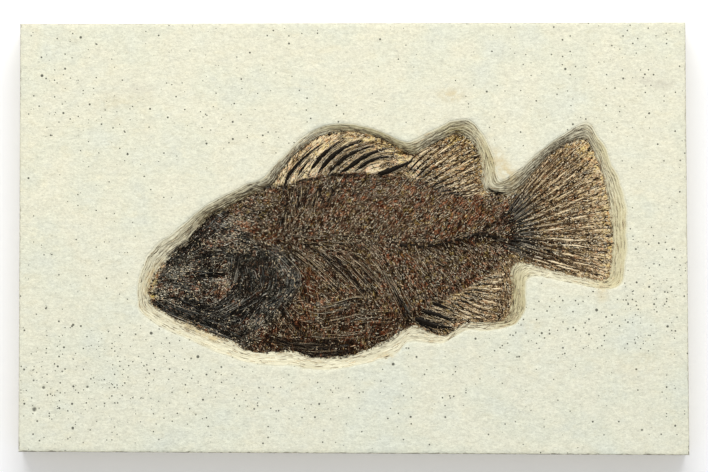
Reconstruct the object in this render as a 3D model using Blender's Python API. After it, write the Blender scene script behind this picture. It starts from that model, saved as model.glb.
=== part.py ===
# Fossil fish in a limestone slab: a perch-shaped fish lying on its side in a hollow
# that steps down to it in thin ledges.
#
# Built lying flat. +Z is up through the slab, the snout points to -X and the back to +Y.
# The origin is at the middle of the flat underside. Plan sizes are in millimetres.

import math

import bmesh
import bpy

MM = 0.001

# Slab
SLAB_LENGTH = 214.8
SLAB_WIDTH = 138.6
SLAB_THICKNESS = 16.0
ARRIS = 0.5
# How far each corner falls short of the full length and width.
CORNER_SHORTFALL = {
    "back_left": (0.6, 0.5),
    "back_right": (1.3, 0.0),
    "front_right": (0.0, 0.0),
    "front_left": (0.0, 1.1),
}

# Heights above the flat underside
FISH_UNDERSIDE = 13.4
FISH_SKIN = 14.1
POCKET_CLEARANCE = 0.3
POCKET_SIDE_CLEARANCE = 0.45
# Ledges of the hollow: share of the way from the fish to the rim, and height of each floor.
LEDGES = ((1.0, 15.6), (0.78, 15.2), (0.54, 14.8), (0.28, 14.4))

# The margin of the fish and, beside each point, the rim of the hollow, going round with
# the clock from the snout.
MARGIN = {
    "snout": (
        ((-65.2, -18.6), (-69.4, -19.6)),
        ((-65.6, -16.4), (-69.5, -15.1)),
        ((-64.0, -12.2), (-68.8, -10.6)),
        ((-62.0, -9.0), (-67.2, -6.5)),
        ((-59.2, -6.5), (-64.9, -3.6)),
    ),
    "nape": (
        ((-56.0, -3.3), (-61.4, -0.4)),
        ((-52.4, -0.7), (-57.9, 2.2)),
        ((-49.6, 3.1), (-54.4, 5.4)),
        ((-46.7, 6.7), (-50.2, 8.9)),
        ((-42.8, 8.3), (-46.0, 11.8)),
        ((-34.2, 13.1), (-37.1, 16.6)),
        ((-26.2, 17.2), (-29.4, 19.5)),
    ),
    "spiny_dorsal": (
        ((-23.6, 21.4), (-26.5, 22.6)),
        ((-17.6, 28.1), (-20.8, 28.4)),
        ((-14.0, 31.0), (-17.4, 31.8)),
        ((-9.9, 33.2), (-13.1, 35.1)),
        ((-5.4, 34.2), (-8.0, 36.7)),
        ((-0.6, 34.2), (-0.6, 36.9)),
        ((4.2, 33.4), (4.6, 35.7)),
        ((9.0, 31.9), (9.4, 34.2)),
        ((16.4, 27.8), (16.4, 31.3)),
        ((19.9, 26.8), (19.6, 31.6)),
    ),
    "soft_dorsal": (
        ((23.7, 29.1), (23.4, 33.9)),
        ((27.9, 31.3), (27.2, 36.3)),
        ((32.0, 33.2), (31.4, 38.0)),
        ((35.2, 32.9), (35.8, 38.7)),
        ((37.8, 30.7), (39.4, 36.9)),
        ((39.4, 28.1), (42.6, 31.6)),
        ((40.8, 22.6), (45.0, 25.6)),
        ((41.4, 15.6), (46.5, 19.6)),
    ),
    "tail": (
        ((45.5, 14.3), (48.0, 18.9)),
        ((50.0, 14.0), (50.2, 20.5)),
        ((52.8, 15.6), (52.5, 22.3)),
        ((55.4, 18.5), (55.7, 24.9)),
        ((62.1, 26.2), (62.8, 30.7)),
        ((66.0, 29.1), (66.6, 33.5)),
        ((70.1, 31.0), (70.8, 36.1)),
        ((74.0, 31.6), (75.0, 37.4)),
        ((75.9, 29.1), (78.4, 33.2)),
        ((79.4, 20.7), (83.2, 23.8)),
        ((81.6, 10.2), (86.8, 12.4)),
        ((82.6, -1.3), (87.8, -1.3)),
        ((81.9, -9.4), (86.6, -11.2)),
        ((80.4, -12.9), (84.2, -15.7)),
        ((76.5, -12.7), (77.8, -16.1)),
        ((66.6, -10.8), (66.0, -13.8)),
        ((56.7, -7.9), (58.4, -12.4)),
        ((52.5, -7.4), (55.7, -13.5)),
    ),
    "anal_fin": (
        ((50.3, -10.0), (55.1, -16.2)),
        ((50.6, -17.7), (55.3, -20.9)),
        ((50.0, -22.6), (54.2, -24.8)),
        ((47.6, -25.9), (51.4, -27.7)),
        ((42.0, -26.6), (43.6, -29.4)),
        ((35.2, -26.8), (36.4, -29.7)),
        ((32.4, -29.1), (32.4, -31.4)),
        ((28.8, -30.7), (29.4, -33.2)),
        ((24.7, -29.9), (25.0, -33.7)),
        ((20.5, -28.2), (20.8, -33.3)),
    ),
    "belly": (
        ((17.3, -28.2), (16.7, -34.3)),
        ((10.6, -32.4), (11.4, -38.2)),
        ((2.0, -36.2), (3.6, -40.0)),
        ((-5.0, -37.7), (-5.4, -42.4)),
        ((-13.4, -37.5), (-14.4, -42.3)),
        ((-21.0, -35.8), (-22.4, -40.8)),
        ((-29.1, -36.2), (-31.0, -40.1)),
        ((-33.9, -35.4), (-36.6, -39.2)),
        ((-38.0, -33.0), (-41.9, -37.5)),
    ),
    "jaw": (
        ((-47.6, -29.5), (-51.8, -33.3)),
        ((-57.2, -25.3), (-61.1, -28.9)),
        ((-61.8, -22.6), (-65.8, -26.2)),
        ((-64.4, -20.8), (-68.8, -23.1)),
    ),
}

# Body of the fish: place along the slab, belly edge, back edge, swell above the fins.
BODY_STATIONS = (
    (-64.6, -18.9, -15.6, 0.15),
    (-63.0, -21.0, -11.6, 0.35),
    (-60.2, -22.9, -8.2, 0.60),
    (-55.6, -25.4, -3.8, 0.80),
    (-49.2, -28.2, 2.6, 0.95),
    (-42.8, -30.6, 7.6, 1.10),
    (-34.8, -34.3, 12.0, 1.25),
    (-26.8, -35.5, 16.2, 1.30),
    (-17.2, -35.9, 18.4, 1.25),
    (-7.6, -37.1, 20.6, 1.20),
    (2.0, -35.6, 21.1, 1.15),
    (10.0, -32.2, 20.3, 1.10),
    (18.0, -27.2, 19.2, 1.00),
    (27.6, -20.2, 16.9, 0.90),
    (37.2, -15.1, 14.4, 0.80),
    (43.6, -10.9, 13.0, 0.70),
    (49.3, -7.2, 12.0, 0.50),
    (53.2, -4.8, 10.2, 0.20),
)
BODY_ARCH_POINTS = 9
BODY_ROOT = 0.2

# Bones
COLUMN_ROUTE = (
    (-33.0, -1.5), (-20.0, 0.5), (-7.0, 1.0), (6.0, 0.9), (15.0, -1.7),
    (25.0, -2.3), (33.0, -0.2), (41.0, 2.0), (48.5, 5.4),
)
VERTEBRAE = 17
VERTEBRA_RADIUS = 1.15
RIBS = 9
NEURAL_SPINES = 12
HAEMAL_SPINES = 9
BONE_WIDTH = 0.7

SPINY_DORSAL_SPINES = (
    ((-21.7, 15.6), (-20.8, 19.8), (-16.3, 25.2), (-8.9, 30.7)),
    ((-16.3, 20.4), (-12.4, 25.2), (-7.6, 29.1), (-2.2, 32.3)),
    ((-11.8, 20.4), (-8.6, 24.9), (-2.8, 29.1), (3.2, 31.6)),
    ((-8.0, 20.6), (-3.8, 25.5), (1.3, 28.1), (8.0, 30.0)),
    ((-3.5, 21.0), (1.3, 25.5), (6.8, 27.8), (12.2, 28.7)),
    ((1.0, 20.8), (5.2, 24.9), (10.0, 26.2), (15.4, 26.8)),
    ((7.6, 20.3), (11.6, 22.0), (16.4, 23.9), (20.2, 25.2)),
)
ANAL_SPINES = (
    ((20.8, -26.4), (24.6, -28.6), (28.4, -29.6)),
    ((18.9, -25.0), (24.4, -27.3), (31.0, -28.3)),
    ((21.8, -23.1), (27.6, -25.0), (33.3, -25.7)),
    ((24.4, -19.6), (26.6, -21.2), (31.4, -23.1)),
)
SPINE_WIDTH = 1.0

SOFT_DORSAL_RAYS = 10
TAIL_RAYS = 15
ANAL_RAYS = 8
RAY_WIDTH = 0.62

# Head, shoulder and belly bones: route and width.
HEAD_BONES = {
    "lower_jaw": (((-63.0, -20.3), (-56.3, -24.0), (-49.2, -26.3), (-41.5, -28.6)), 1.0),
    "upper_jaw": (((-62.2, -16.0), (-56.0, -18.2), (-49.0, -19.4)), 0.8),
    "brow": (((-58.5, -8.0), (-50.0, -3.6), (-41.0, 1.6)), 0.9),
    "cheek": (((-50.5, -11.8), (-42.0, -11.6), (-36.0, -14.0), (-36.6, -21.0)), 0.8),
    "shoulder": (((-26.2, -4.2), (-20.0, -8.6), (-18.0, -13.4), (-21.0, -18.0), (-25.4, -23.4)), 1.2),
    "shoulder_foot": (((-23.3, -22.8), (-18.5, -28.2), (-16.3, -30.8)), 0.8),
    "pelvis": (((-28.1, -31.1), (-22.0, -33.0), (-15.6, -35.0), (-6.0, -35.8)), 0.9),
    "pelvic_fin": (((-18.2, -32.6), (-10.0, -33.0), (-2.8, -32.4)), 0.8),
    "anal_bone": (((8.4, -5.2), (10.2, -10.6), (14.1, -18.6), (18.0, -25.0)), 1.0),
    "nape_bone_front": (((-22.0, 4.4), (-21.2, 7.6), (-20.4, 10.8)), 0.8),
    "nape_bone_middle": (((-18.2, 4.4), (-17.8, 8.4), (-17.2, 12.4)), 0.8),
    "nape_bone_back": (((-12.4, 9.2), (-11.2, 11.6), (-10.2, 14.0)), 0.8),
}
GILL_COVER_PLACE = (-28.0, -13.0)
GILL_COVER_SIZE = (9.0, 9.0)
GILL_COVER_SWELL = 0.45

LOOP_STEPS = 2
FLAT_ANGLE = math.radians(0.3)


def clear_scene():
    for thing in list(bpy.data.objects):
        bpy.data.objects.remove(thing, do_unlink=True)


def new_collection(name):
    collection = bpy.data.collections.new(name)
    bpy.context.scene.collection.children.link(collection)
    return collection


def make_material(name, colour, roughness):
    material = bpy.data.materials.new(name)
    material.use_nodes = True
    shader = material.node_tree.nodes["Principled BSDF"]
    shader.inputs["Base Color"].default_value = (*colour, 1.0)
    shader.inputs["Roughness"].default_value = roughness
    shader.inputs["Metallic"].default_value = 0.0
    return material


def add_mesh(name, bm, collection):
    bmesh.ops.recalc_face_normals(bm, faces=bm.faces[:])
    mesh = bpy.data.meshes.new(name)
    bm.to_mesh(mesh)
    bm.free()
    thing = bpy.data.objects.new(name, mesh)
    collection.objects.link(thing)
    return thing


def merge_flat_faces(bm):
    settings = {"angle_limit": FLAT_ANGLE, "use_dissolve_boundaries": False}
    bmesh.ops.dissolve_limit(bm, verts=bm.verts[:], edges=bm.edges[:], **settings)


def shells(bm):
    # Groups of connected vertices, the largest first.
    left = set(bm.verts)
    groups = []
    while left:
        group = {left.pop()}
        edge_of_group = list(group)
        while edge_of_group:
            vert = edge_of_group.pop()
            new = {edge.other_vert(vert) for edge in vert.link_edges} - group
            group |= new
            edge_of_group += new
        left -= group
        groups.append(group)
    return sorted(groups, key=len, reverse=True)


def finish_solid(thing):
    # Fills the tiny gaps shut in between crossing bones, then merges flat faces.
    bm = bmesh.new()
    bm.from_mesh(thing.data)
    for gap in shells(bm)[1:]:
        bmesh.ops.delete(bm, geom=list(gap), context="VERTS")
    merge_flat_faces(bm)
    bm.to_mesh(thing.data)
    bm.free()


def blend(first, second, share):
    return tuple(a + (b - a) * share for a, b in zip(first, second))


def spline_point(before, start, end, after, share):
    # Catmull-Rom: passes through start and end, with slopes set by their neighbours.
    point = []
    for a, b, c, d in zip(before, start, end, after):
        bend = (2 * a - 5 * b + 4 * c - d) * share ** 2
        twist = (3 * b - a - 3 * c + d) * share ** 3
        point.append(0.5 * (2 * b + (c - a) * share + bend + twist))
    return tuple(point)


def smooth_loop(points, steps=LOOP_STEPS):
    count = len(points)
    loop = []
    for index in range(count):
        near = [points[(index + offset) % count] for offset in (-1, 0, 1, 2)]
        loop += [spline_point(*near, step / steps) for step in range(steps)]
    return loop


def route_point(route, share):
    # Point at a share of the way along an open route, smoothed through its points.
    place = min(max(share, 0.0), 1.0) * (len(route) - 1)
    index = min(int(place), len(route) - 2)
    last = len(route) - 1
    near = [route[min(max(index + offset, 0), last)] for offset in (-1, 0, 1, 2)]
    return spline_point(*near, place - index)


def margin_loop(share=0.0, clearance=0.0):
    # Loop between the margin of the fish (share 0) and the rim of the hollow (share 1).
    points = []
    for stretch in MARGIN.values():
        for fish, rim in stretch:
            point = blend(fish, rim, share)
            span = math.dist(fish, rim)
            points.append(tuple(p + (r - f) * clearance / span for p, f, r in zip(point, fish, rim)))
    return smooth_loop(points)


def prism(name, loop, low, high, collection):
    # Upright solid with a flat outline between two heights.
    curve = bpy.data.curves.new(name, "CURVE")
    curve.dimensions = "2D"
    curve.fill_mode = "BOTH"
    curve.extrude = (high - low) / 2 * MM
    spline = curve.splines.new("POLY")
    spline.points.add(len(loop) - 1)
    for point, (x, y) in zip(spline.points, loop):
        point.co = (x * MM, y * MM, 0.0, 1.0)
    spline.use_cyclic_u = True
    return curve_to_mesh(name, curve, (low + high) / 2, collection)


def curve_to_mesh(name, curve, lift, collection):
    holder = bpy.data.objects.new(name + "_curve", curve)
    collection.objects.link(holder)
    graph = bpy.context.evaluated_depsgraph_get()
    mesh = bpy.data.meshes.new_from_object(holder.evaluated_get(graph))
    bpy.data.objects.remove(holder, do_unlink=True)
    bpy.data.curves.remove(curve)
    bm = bmesh.new()
    bm.from_mesh(mesh)
    bpy.data.meshes.remove(mesh)
    bmesh.ops.remove_doubles(bm, verts=bm.verts[:], dist=0.00001)
    merge_flat_faces(bm)
    bmesh.ops.translate(bm, verts=bm.verts[:], vec=(0.0, 0.0, lift * MM))
    return add_mesh(name, bm, collection)


def apply_modifier(thing, kind, **settings):
    modifier = thing.modifiers.new(kind.title(), kind)
    for key, value in settings.items():
        setattr(modifier, key, value)
    graph = bpy.context.evaluated_depsgraph_get()
    mesh = bpy.data.meshes.new_from_object(thing.evaluated_get(graph))
    thing.modifiers.clear()
    spent = thing.data
    thing.data = mesh
    bpy.data.meshes.remove(spent)


def combine(thing, tools, operation):
    # One exact Boolean of an object with everything in a collection.
    for tool in tools.objects:
        tool.hide_render = True
        tool.display_type = "WIRE"
    settings = {"operand_type": "COLLECTION", "collection": tools, "solver": "EXACT"}
    apply_modifier(thing, "BOOLEAN", operation=operation, **settings)
    finish_solid(thing)


def slab_loop():
    signs = {"back_left": (-1, 1), "back_right": (1, 1), "front_right": (1, -1), "front_left": (-1, -1)}
    half = (SLAB_LENGTH / 2, SLAB_WIDTH / 2)
    loop = []
    for corner, sign in signs.items():
        loop.append(tuple(s * (h - less) for s, h, less in zip(sign, half, CORNER_SHORTFALL[corner])))
    return loop


def bevel_arris(thing):
    # Every edge but those of the flat underside.
    bm = bmesh.new()
    bm.from_mesh(thing.data)
    sharp = [edge for edge in bm.edges if max(vert.co.z for vert in edge.verts) > ARRIS * MM]
    bmesh.ops.bevel(bm, geom=sharp, offset=ARRIS * MM, segments=1, affect="EDGES")
    bm.to_mesh(thing.data)
    bm.free()


def build_slab(collection):
    cutters = new_collection("slab_cutters")
    slab = prism("limestone_slab", slab_loop(), 0.0, SLAB_THICKNESS, collection)
    bevel_arris(slab)
    for number, (share, floor) in enumerate(LEDGES):
        top = SLAB_THICKNESS + 1.0 + number * 0.2
        prism(f"ledge_{number}", margin_loop(share), floor, top, cutters)
    pocket_loop = margin_loop(0.0, POCKET_SIDE_CLEARANCE)
    prism("fish_pocket", pocket_loop, FISH_UNDERSIDE - POCKET_CLEARANCE, SLAB_THICKNESS + 2.0, cutters)
    combine(slab, cutters, "DIFFERENCE")
    slab.data.materials.clear()
    slab.data.materials.append(make_material("pale_limestone", (0.79, 0.78, 0.64), 0.9))
    return slab


def body_section(x):
    # Belly edge, back edge and swell of the body at a place along the slab.
    for near, far in zip(BODY_STATIONS, BODY_STATIONS[1:]):
        if near[0] <= x <= far[0]:
            return blend(near, far, (x - near[0]) / (far[0] - near[0]))[1:]
    return None


def skin_height(x, y):
    # Height of the fish: a low arch across the body, flat on the fins.
    section = body_section(x)
    if section is None:
        return FISH_SKIN
    belly, back, swell = section
    across = (2 * y - belly - back) / (back - belly)
    if abs(across) >= 1.0:
        return FISH_SKIN
    return max(FISH_SKIN, FISH_SKIN - BODY_ROOT + (swell + BODY_ROOT) * (1 - across ** 2) ** 0.6)


def body_loft(collection):
    # Arched sections joined along the fish, rooted inside the film of the fins.
    bm = bmesh.new()
    rings = []
    for x, belly, back, swell in BODY_STATIONS:
        ring = []
        for step in range(BODY_ARCH_POINTS):
            across = -math.cos(math.pi * step / (BODY_ARCH_POINTS - 1))
            y = (belly + back) / 2 + across * (back - belly) / 2
            arch = (swell + BODY_ROOT) * max(0.0, 1 - across ** 2) ** 0.6
            ring.append(bm.verts.new((x * MM, y * MM, (FISH_SKIN - BODY_ROOT + arch) * MM)))
        rings.append(ring)
    for near, far in zip(rings, rings[1:]):
        for step in range(BODY_ARCH_POINTS - 1):
            bm.faces.new((near[step], far[step], far[step + 1], near[step + 1]))
        bm.faces.new((near[-1], far[-1], far[0], near[0]))
    bm.faces.new(rings[0])
    bm.faces.new(reversed(rings[-1]))
    return add_mesh("body_loft", bm, collection)


def rod(name, route, widths, collection, points=4):
    # Tapered bone lying half sunk in the skin of the fish, along a smoothed route.
    curve = bpy.data.curves.new(name, "CURVE")
    curve.dimensions = "3D"
    curve.bevel_depth = MM / 2
    curve.bevel_resolution = 0
    curve.use_fill_caps = True
    spline = curve.splines.new("POLY")
    spline.points.add(points - 1)
    for index, point in enumerate(spline.points):
        share = index / (points - 1)
        x, y = route_point(route, share)
        point.co = (x * MM, y * MM, skin_height(x, y) * MM, 1.0)
        point.radius = widths[0] + (widths[1] - widths[0]) * share
    return curve_to_mesh(name, curve, 0.0, collection)


def mound(name, place, size, rise, collection, segments, rings):
    # Low oval swelling centred on the skin.
    bm = bmesh.new()
    bmesh.ops.create_uvsphere(bm, u_segments=segments, v_segments=rings, radius=1.0)
    bmesh.ops.scale(bm, verts=bm.verts[:], vec=(size[0] * MM, size[1] * MM, rise * MM))
    lift = skin_height(*place) * MM
    bmesh.ops.translate(bm, verts=bm.verts[:], vec=(place[0] * MM, place[1] * MM, lift))
    return add_mesh(name, bm, collection)


def add_column(bones):
    for number in range(VERTEBRAE):
        share = number / (VERTEBRAE - 1)
        place = route_point(COLUMN_ROUTE, share)
        radius = VERTEBRA_RADIUS * (1.0 - 0.35 * share)
        mound(f"vertebra_{number}", place, (radius * 1.5, radius), 0.5, bones, 6, 4)


def leaning_route(root, angle, length, bow):
    # Three points of a bone that leaves its root at an angle and bows sideways.
    turn = math.radians(angle)
    along = (math.cos(turn), math.sin(turn))
    aside = (-along[1], along[0])
    middle = tuple(r + a * length / 2 + s * bow for r, a, s in zip(root, along, aside))
    tip = tuple(r + a * length for r, a in zip(root, along))
    return (root, middle, tip)


def add_column_bones(bones):
    families = (
        ("rib", RIBS, (0.08, 0.52), (-52.0, -40.0), (27.0, 21.0), -1.6),
        ("neural", NEURAL_SPINES, (0.34, 0.94), (57.0, 42.0), (13.0, 8.0), 0.6),
        ("haemal", HAEMAL_SPINES, (0.60, 0.96), (-54.0, -34.0), (14.0, 9.0), -0.5),
    )
    for family, count, reach, angles, lengths, bow in families:
        for number in range(count):
            share = number / (count - 1)
            root = route_point(COLUMN_ROUTE, reach[0] + (reach[1] - reach[0]) * share)
            angle = angles[0] + (angles[1] - angles[0]) * share
            length = lengths[0] + (lengths[1] - lengths[0]) * share
            route = leaning_route(root, angle, length, bow)
            rod(f"{family}_{number}", route, (BONE_WIDTH, BONE_WIDTH * 0.55), bones)


def add_fan(bones, name, count, roots, tips, width, bow):
    # Fin rays running from a base route to a margin route.
    for number in range(count):
        share = number / (count - 1)
        root = route_point(roots, share)
        tip = route_point(tips, share)
        middle = blend(root, tip, 0.5)
        middle = (middle[0], middle[1] + bow * (1.0 - 2.0 * share))
        rod(f"{name}_{number}", (root, middle, tip), (width, width * 0.6), bones, 3)


def add_fins(bones):
    for name, spines in (("dorsal_spine", SPINY_DORSAL_SPINES), ("anal_spine", ANAL_SPINES)):
        for number, route in enumerate(spines):
            rod(f"{name}_{number}", route, (SPINE_WIDTH, SPINE_WIDTH * 0.4), bones, 5)
    soft_roots = ((18.4, 21.2), (28.8, 18.2), (38.2, 15.2))
    soft_tips = ((31.8, 32.2), (38.0, 26.0), (40.2, 17.0))
    add_fan(bones, "soft_dorsal_ray", SOFT_DORSAL_RAYS, soft_roots, soft_tips, RAY_WIDTH, 0.0)
    tail_roots = ((50.6, 11.0), (52.0, 7.4), (52.4, 3.2), (52.0, -1.0), (51.6, -5.0))
    tail_tips = ((70.6, 29.4), (76.8, 23.0), (80.0, 13.0), (81.2, 0.0), (79.0, -11.0))
    add_fan(bones, "tail_ray", TAIL_RAYS, tail_roots, tail_tips, RAY_WIDTH, 0.8)
    anal_roots = ((29.8, -20.4), (38.4, -15.6), (47.0, -10.2))
    anal_tips = ((36.0, -25.4), (44.6, -24.6), (48.8, -19.6), (49.2, -11.6))
    add_fan(bones, "anal_ray", ANAL_RAYS, anal_roots, anal_tips, RAY_WIDTH, 0.0)


def add_head(bones):
    mound("gill_cover", GILL_COVER_PLACE, GILL_COVER_SIZE, GILL_COVER_SWELL, bones, 12, 6)
    for name, (route, width) in HEAD_BONES.items():
        rod(name, route, (width, width * 0.7), bones)


def build_fish(collection):
    bones = new_collection("fish_bones")
    fish = prism("fossil_fish", margin_loop(), FISH_UNDERSIDE, FISH_SKIN, collection)
    body_loft(bones)
    add_head(bones)
    add_column(bones)
    add_column_bones(bones)
    add_fins(bones)
    combine(fish, bones, "UNION")
    fish.data.materials.clear()
    fish.data.materials.append(make_material("fossil_bone", (0.095, 0.065, 0.042), 0.6))
    return fish


def main():
    clear_scene()
    collection = new_collection("fossil_fish_slab")
    build_slab(collection)
    build_fish(collection)


main()
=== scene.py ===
# Fossil fish slab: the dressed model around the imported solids.
# Plan sizes are in millimetres and turn into metres where a mesh is made.
import math

import bmesh
import bpy
import numpy as np
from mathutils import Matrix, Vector
from mathutils.geometry import delaunay_2d_cdt


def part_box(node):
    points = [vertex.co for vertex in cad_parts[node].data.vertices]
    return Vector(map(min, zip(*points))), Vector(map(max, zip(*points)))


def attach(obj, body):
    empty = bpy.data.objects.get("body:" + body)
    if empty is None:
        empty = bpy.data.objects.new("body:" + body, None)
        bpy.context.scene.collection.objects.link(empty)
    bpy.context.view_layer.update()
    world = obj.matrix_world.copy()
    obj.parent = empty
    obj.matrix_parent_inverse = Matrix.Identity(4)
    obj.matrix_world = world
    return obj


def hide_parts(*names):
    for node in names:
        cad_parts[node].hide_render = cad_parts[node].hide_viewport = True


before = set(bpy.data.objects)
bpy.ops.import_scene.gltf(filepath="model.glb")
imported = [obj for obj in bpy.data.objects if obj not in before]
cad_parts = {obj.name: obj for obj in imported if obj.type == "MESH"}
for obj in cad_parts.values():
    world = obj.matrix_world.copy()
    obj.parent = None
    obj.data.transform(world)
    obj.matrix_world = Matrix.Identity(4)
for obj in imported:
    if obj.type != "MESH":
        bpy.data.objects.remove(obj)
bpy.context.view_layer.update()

mm = 0.001
circle = 6.283  # length of a circle for each unit of its radius
slabHigh = np.array(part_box("limestone_slab")[1]) / mm
slabTop = slabHigh[2]

cornerShortfall = ((0.6, 0.5), (1.3, 0), (0, 0), (0, 1.1))  # from back left, with the clock

# The margin of the fish and, beside each point, the rim of the hollow, with the clock from the snout.
margin = {
    "snout": (
        ((-65.2, -18.6), (-69.4, -19.6)), ((-65.6, -16.4), (-69.5, -15.1)),
        ((-64, -12.2), (-68.8, -10.6)), ((-62, -9), (-67.2, -6.5)),
        ((-59.2, -6.5), (-64.9, -3.6)),
    ),
    "nape": (
        ((-56, -3.3), (-61.4, -0.4)), ((-52.4, -0.7), (-57.9, 2.2)),
        ((-49.6, 3.1), (-54.4, 5.4)), ((-46.7, 6.7), (-50.2, 8.9)),
        ((-42.8, 8.3), (-46, 11.8)), ((-34.2, 13.1), (-37.1, 16.6)),
        ((-26.2, 17.2), (-29.4, 19.5)),
    ),
    "spinyDorsal": (
        ((-23.6, 21.4), (-26.5, 22.6)), ((-17.6, 28.1), (-20.8, 28.4)),
        ((-14, 31), (-17.4, 31.8)), ((-9.9, 33.2), (-13.1, 35.1)),
        ((-5.4, 34.2), (-8, 36.7)), ((-0.6, 34.2), (-0.6, 36.9)),
        ((4.2, 33.4), (4.6, 35.7)), ((9, 31.9), (9.4, 34.2)),
        ((16.4, 27.8), (16.4, 31.3)), ((19.9, 26.8), (19.6, 31.6)),
    ),
    "softDorsal": (
        ((23.7, 29.1), (23.4, 33.9)), ((27.9, 31.3), (27.2, 36.3)),
        ((32, 33.2), (31.4, 38)), ((35.2, 32.9), (35.8, 38.7)),
        ((37.8, 30.7), (39.4, 36.9)), ((39.4, 28.1), (42.6, 31.6)),
        ((40.8, 22.6), (45, 25.6)), ((41.4, 15.6), (46.5, 19.6)),
    ),
    "tail": (
        ((45.5, 14.3), (48, 18.9)), ((50, 14), (50.2, 20.5)),
        ((52.8, 15.6), (52.5, 22.3)), ((55.4, 18.5), (55.7, 24.9)),
        ((62.1, 26.2), (62.8, 30.7)), ((66, 29.1), (66.6, 33.5)),
        ((70.1, 31), (70.8, 36.1)), ((74, 31.6), (75, 37.4)),
        ((75.9, 29.1), (78.4, 33.2)), ((79.4, 20.7), (83.2, 23.8)),
        ((81.6, 10.2), (86.8, 12.4)), ((82.6, -1.3), (87.8, -1.3)),
        ((81.9, -9.4), (86.6, -11.2)), ((80.4, -12.9), (84.2, -15.7)),
        ((76.5, -12.7), (77.8, -16.1)), ((66.6, -10.8), (66, -13.8)),
        ((56.7, -7.9), (58.4, -12.4)), ((52.5, -7.4), (55.7, -13.5)),
    ),
    "analFin": (
        ((50.3, -10), (55.1, -16.2)), ((50.6, -17.7), (55.3, -20.9)),
        ((50, -22.6), (54.2, -24.8)), ((47.6, -25.9), (51.4, -27.7)),
        ((42, -26.6), (43.6, -29.4)), ((35.2, -26.8), (36.4, -29.7)),
        ((32.4, -29.1), (32.4, -31.4)), ((28.8, -30.7), (29.4, -33.2)),
        ((24.7, -29.9), (25, -33.7)), ((20.5, -28.2), (20.8, -33.3)),
    ),
    "belly": (
        ((17.3, -28.2), (16.7, -34.3)), ((10.6, -32.4), (11.4, -38.2)),
        ((2, -36.2), (3.6, -40)), ((-5, -37.7), (-5.4, -42.4)),
        ((-13.4, -37.5), (-14.4, -42.3)), ((-21, -35.8), (-22.4, -40.8)),
        ((-29.1, -36.2), (-31, -40.1)), ((-33.9, -35.4), (-36.6, -39.2)),
        ((-38, -33), (-41.9, -37.5)),
    ),
    "jaw": (
        ((-47.6, -29.5), (-51.8, -33.3)), ((-57.2, -25.3), (-61.1, -28.9)),
        ((-61.8, -22.6), (-65.8, -26.2)), ((-64.4, -20.8), (-68.8, -23.1)),
    ),
}
marginPairs = np.array([pair for stretch in margin.values() for pair in stretch])

heights = {
    "fishUnderside": 13.4,
    "fishSkin": 14.1,
    "matrixAtFish": 14.35,
    "pocketFloor": 13.1,
}

# Body of the fish: place along the slab, belly edge, back edge, swell above the fins.
bodyStations = np.array((
    (-64.6, -18.9, -15.6, 0.15), (-63, -21, -11.6, 0.35), (-60.2, -22.9, -8.2, 0.6),
    (-55.6, -25.4, -3.8, 0.8), (-49.2, -28.2, 2.6, 0.95), (-42.8, -30.6, 7.6, 1.1),
    (-34.8, -34.3, 12, 1.25), (-26.8, -35.5, 16.2, 1.3), (-17.2, -35.9, 18.4, 1.25),
    (-7.6, -37.1, 20.6, 1.2), (2, -35.6, 21.1, 1.15), (10, -32.2, 20.3, 1.1),
    (18, -27.2, 19.2, 1.00), (27.6, -20.2, 16.9, 0.9), (37.2, -15.1, 14.4, 0.8),
    (43.6, -10.9, 13, 0.7), (49.3, -7.2, 12, 0.5), (53.2, -4.8, 10.2, 0.2),
))


def curveAt(points, places, closed=False):
    # Catmull-Rom: each stretch passes through its two points with slopes set by their neighbours.
    points = np.asarray(points, float)
    places = np.asarray(places, float)
    count = len(points)
    index = np.floor(places).astype(int)
    if not closed:
        index = np.clip(index, 0, count - 2)
    share = (places - index)[..., None]
    near = [index + offset for offset in (-1, 0, 1, 2)]
    near = [n % count for n in near] if closed else [np.clip(n, 0, count - 1) for n in near]
    a, b, c, d = (points[n] for n in near)
    bend = (2 * a - 5 * b + 4 * c - d) * share ** 2
    twist = (3 * b - a - 3 * c + d) * share ** 3
    return 0.5 * (2 * b + (c - a) * share + bend + twist)


def smoothStep(low, high, value):
    # From 0 at low to 1 at high, level at both ends: three times the share squared less twice its cube.
    share = np.clip((value - low) / (high - low), 0.0, 1.0)
    return share * share * (3.0 - 2.0 * share)


def latticeValue(column, row, seed):
    # A repeatable random number from 0 to 1 for each whole-number place.
    mixed = column.astype(np.int64) * 374761393 + row.astype(np.int64) * 668265263 + seed * 362437
    mixed = (mixed ^ (mixed >> 13)) * 1274126177 & 0xFFFFFFFF
    mixed = (mixed ^ (mixed >> 16)) * 2246822519 & 0xFFFFFFFF
    return ((mixed ^ (mixed >> 15)) & 0xFFFFFF) / float(0xFFFFFF)


def softNoise(x, y, size, seed, layers=1):
    # Lattice values blended with a smooth step, each layer half the size and half the weight; -1 to 1.
    total = np.zeros(np.broadcast(x, y).shape)
    weight, reach = 1.0, 0.0
    for layer in range(layers):
        across, up = x / size + 17.3 * layer, y / size - 9.1 * layer
        column, row = np.floor(across), np.floor(up)
        fx, fy = across - column, up - row
        fx, fy = fx * fx * (3 - 2 * fx), fy * fy * (3 - 2 * fy)
        lower, upper = (
            latticeValue(column, line, seed) * (1 - fx) + latticeValue(column + 1, line, seed) * fx
            for line in (row, row + 1)
        )
        total = total + weight * (lower * (1 - fy) + upper * fy)
        reach += weight
        weight, size, seed = weight / 2, size / 2, seed + 101
    return total / reach * 2 - 1


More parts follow.
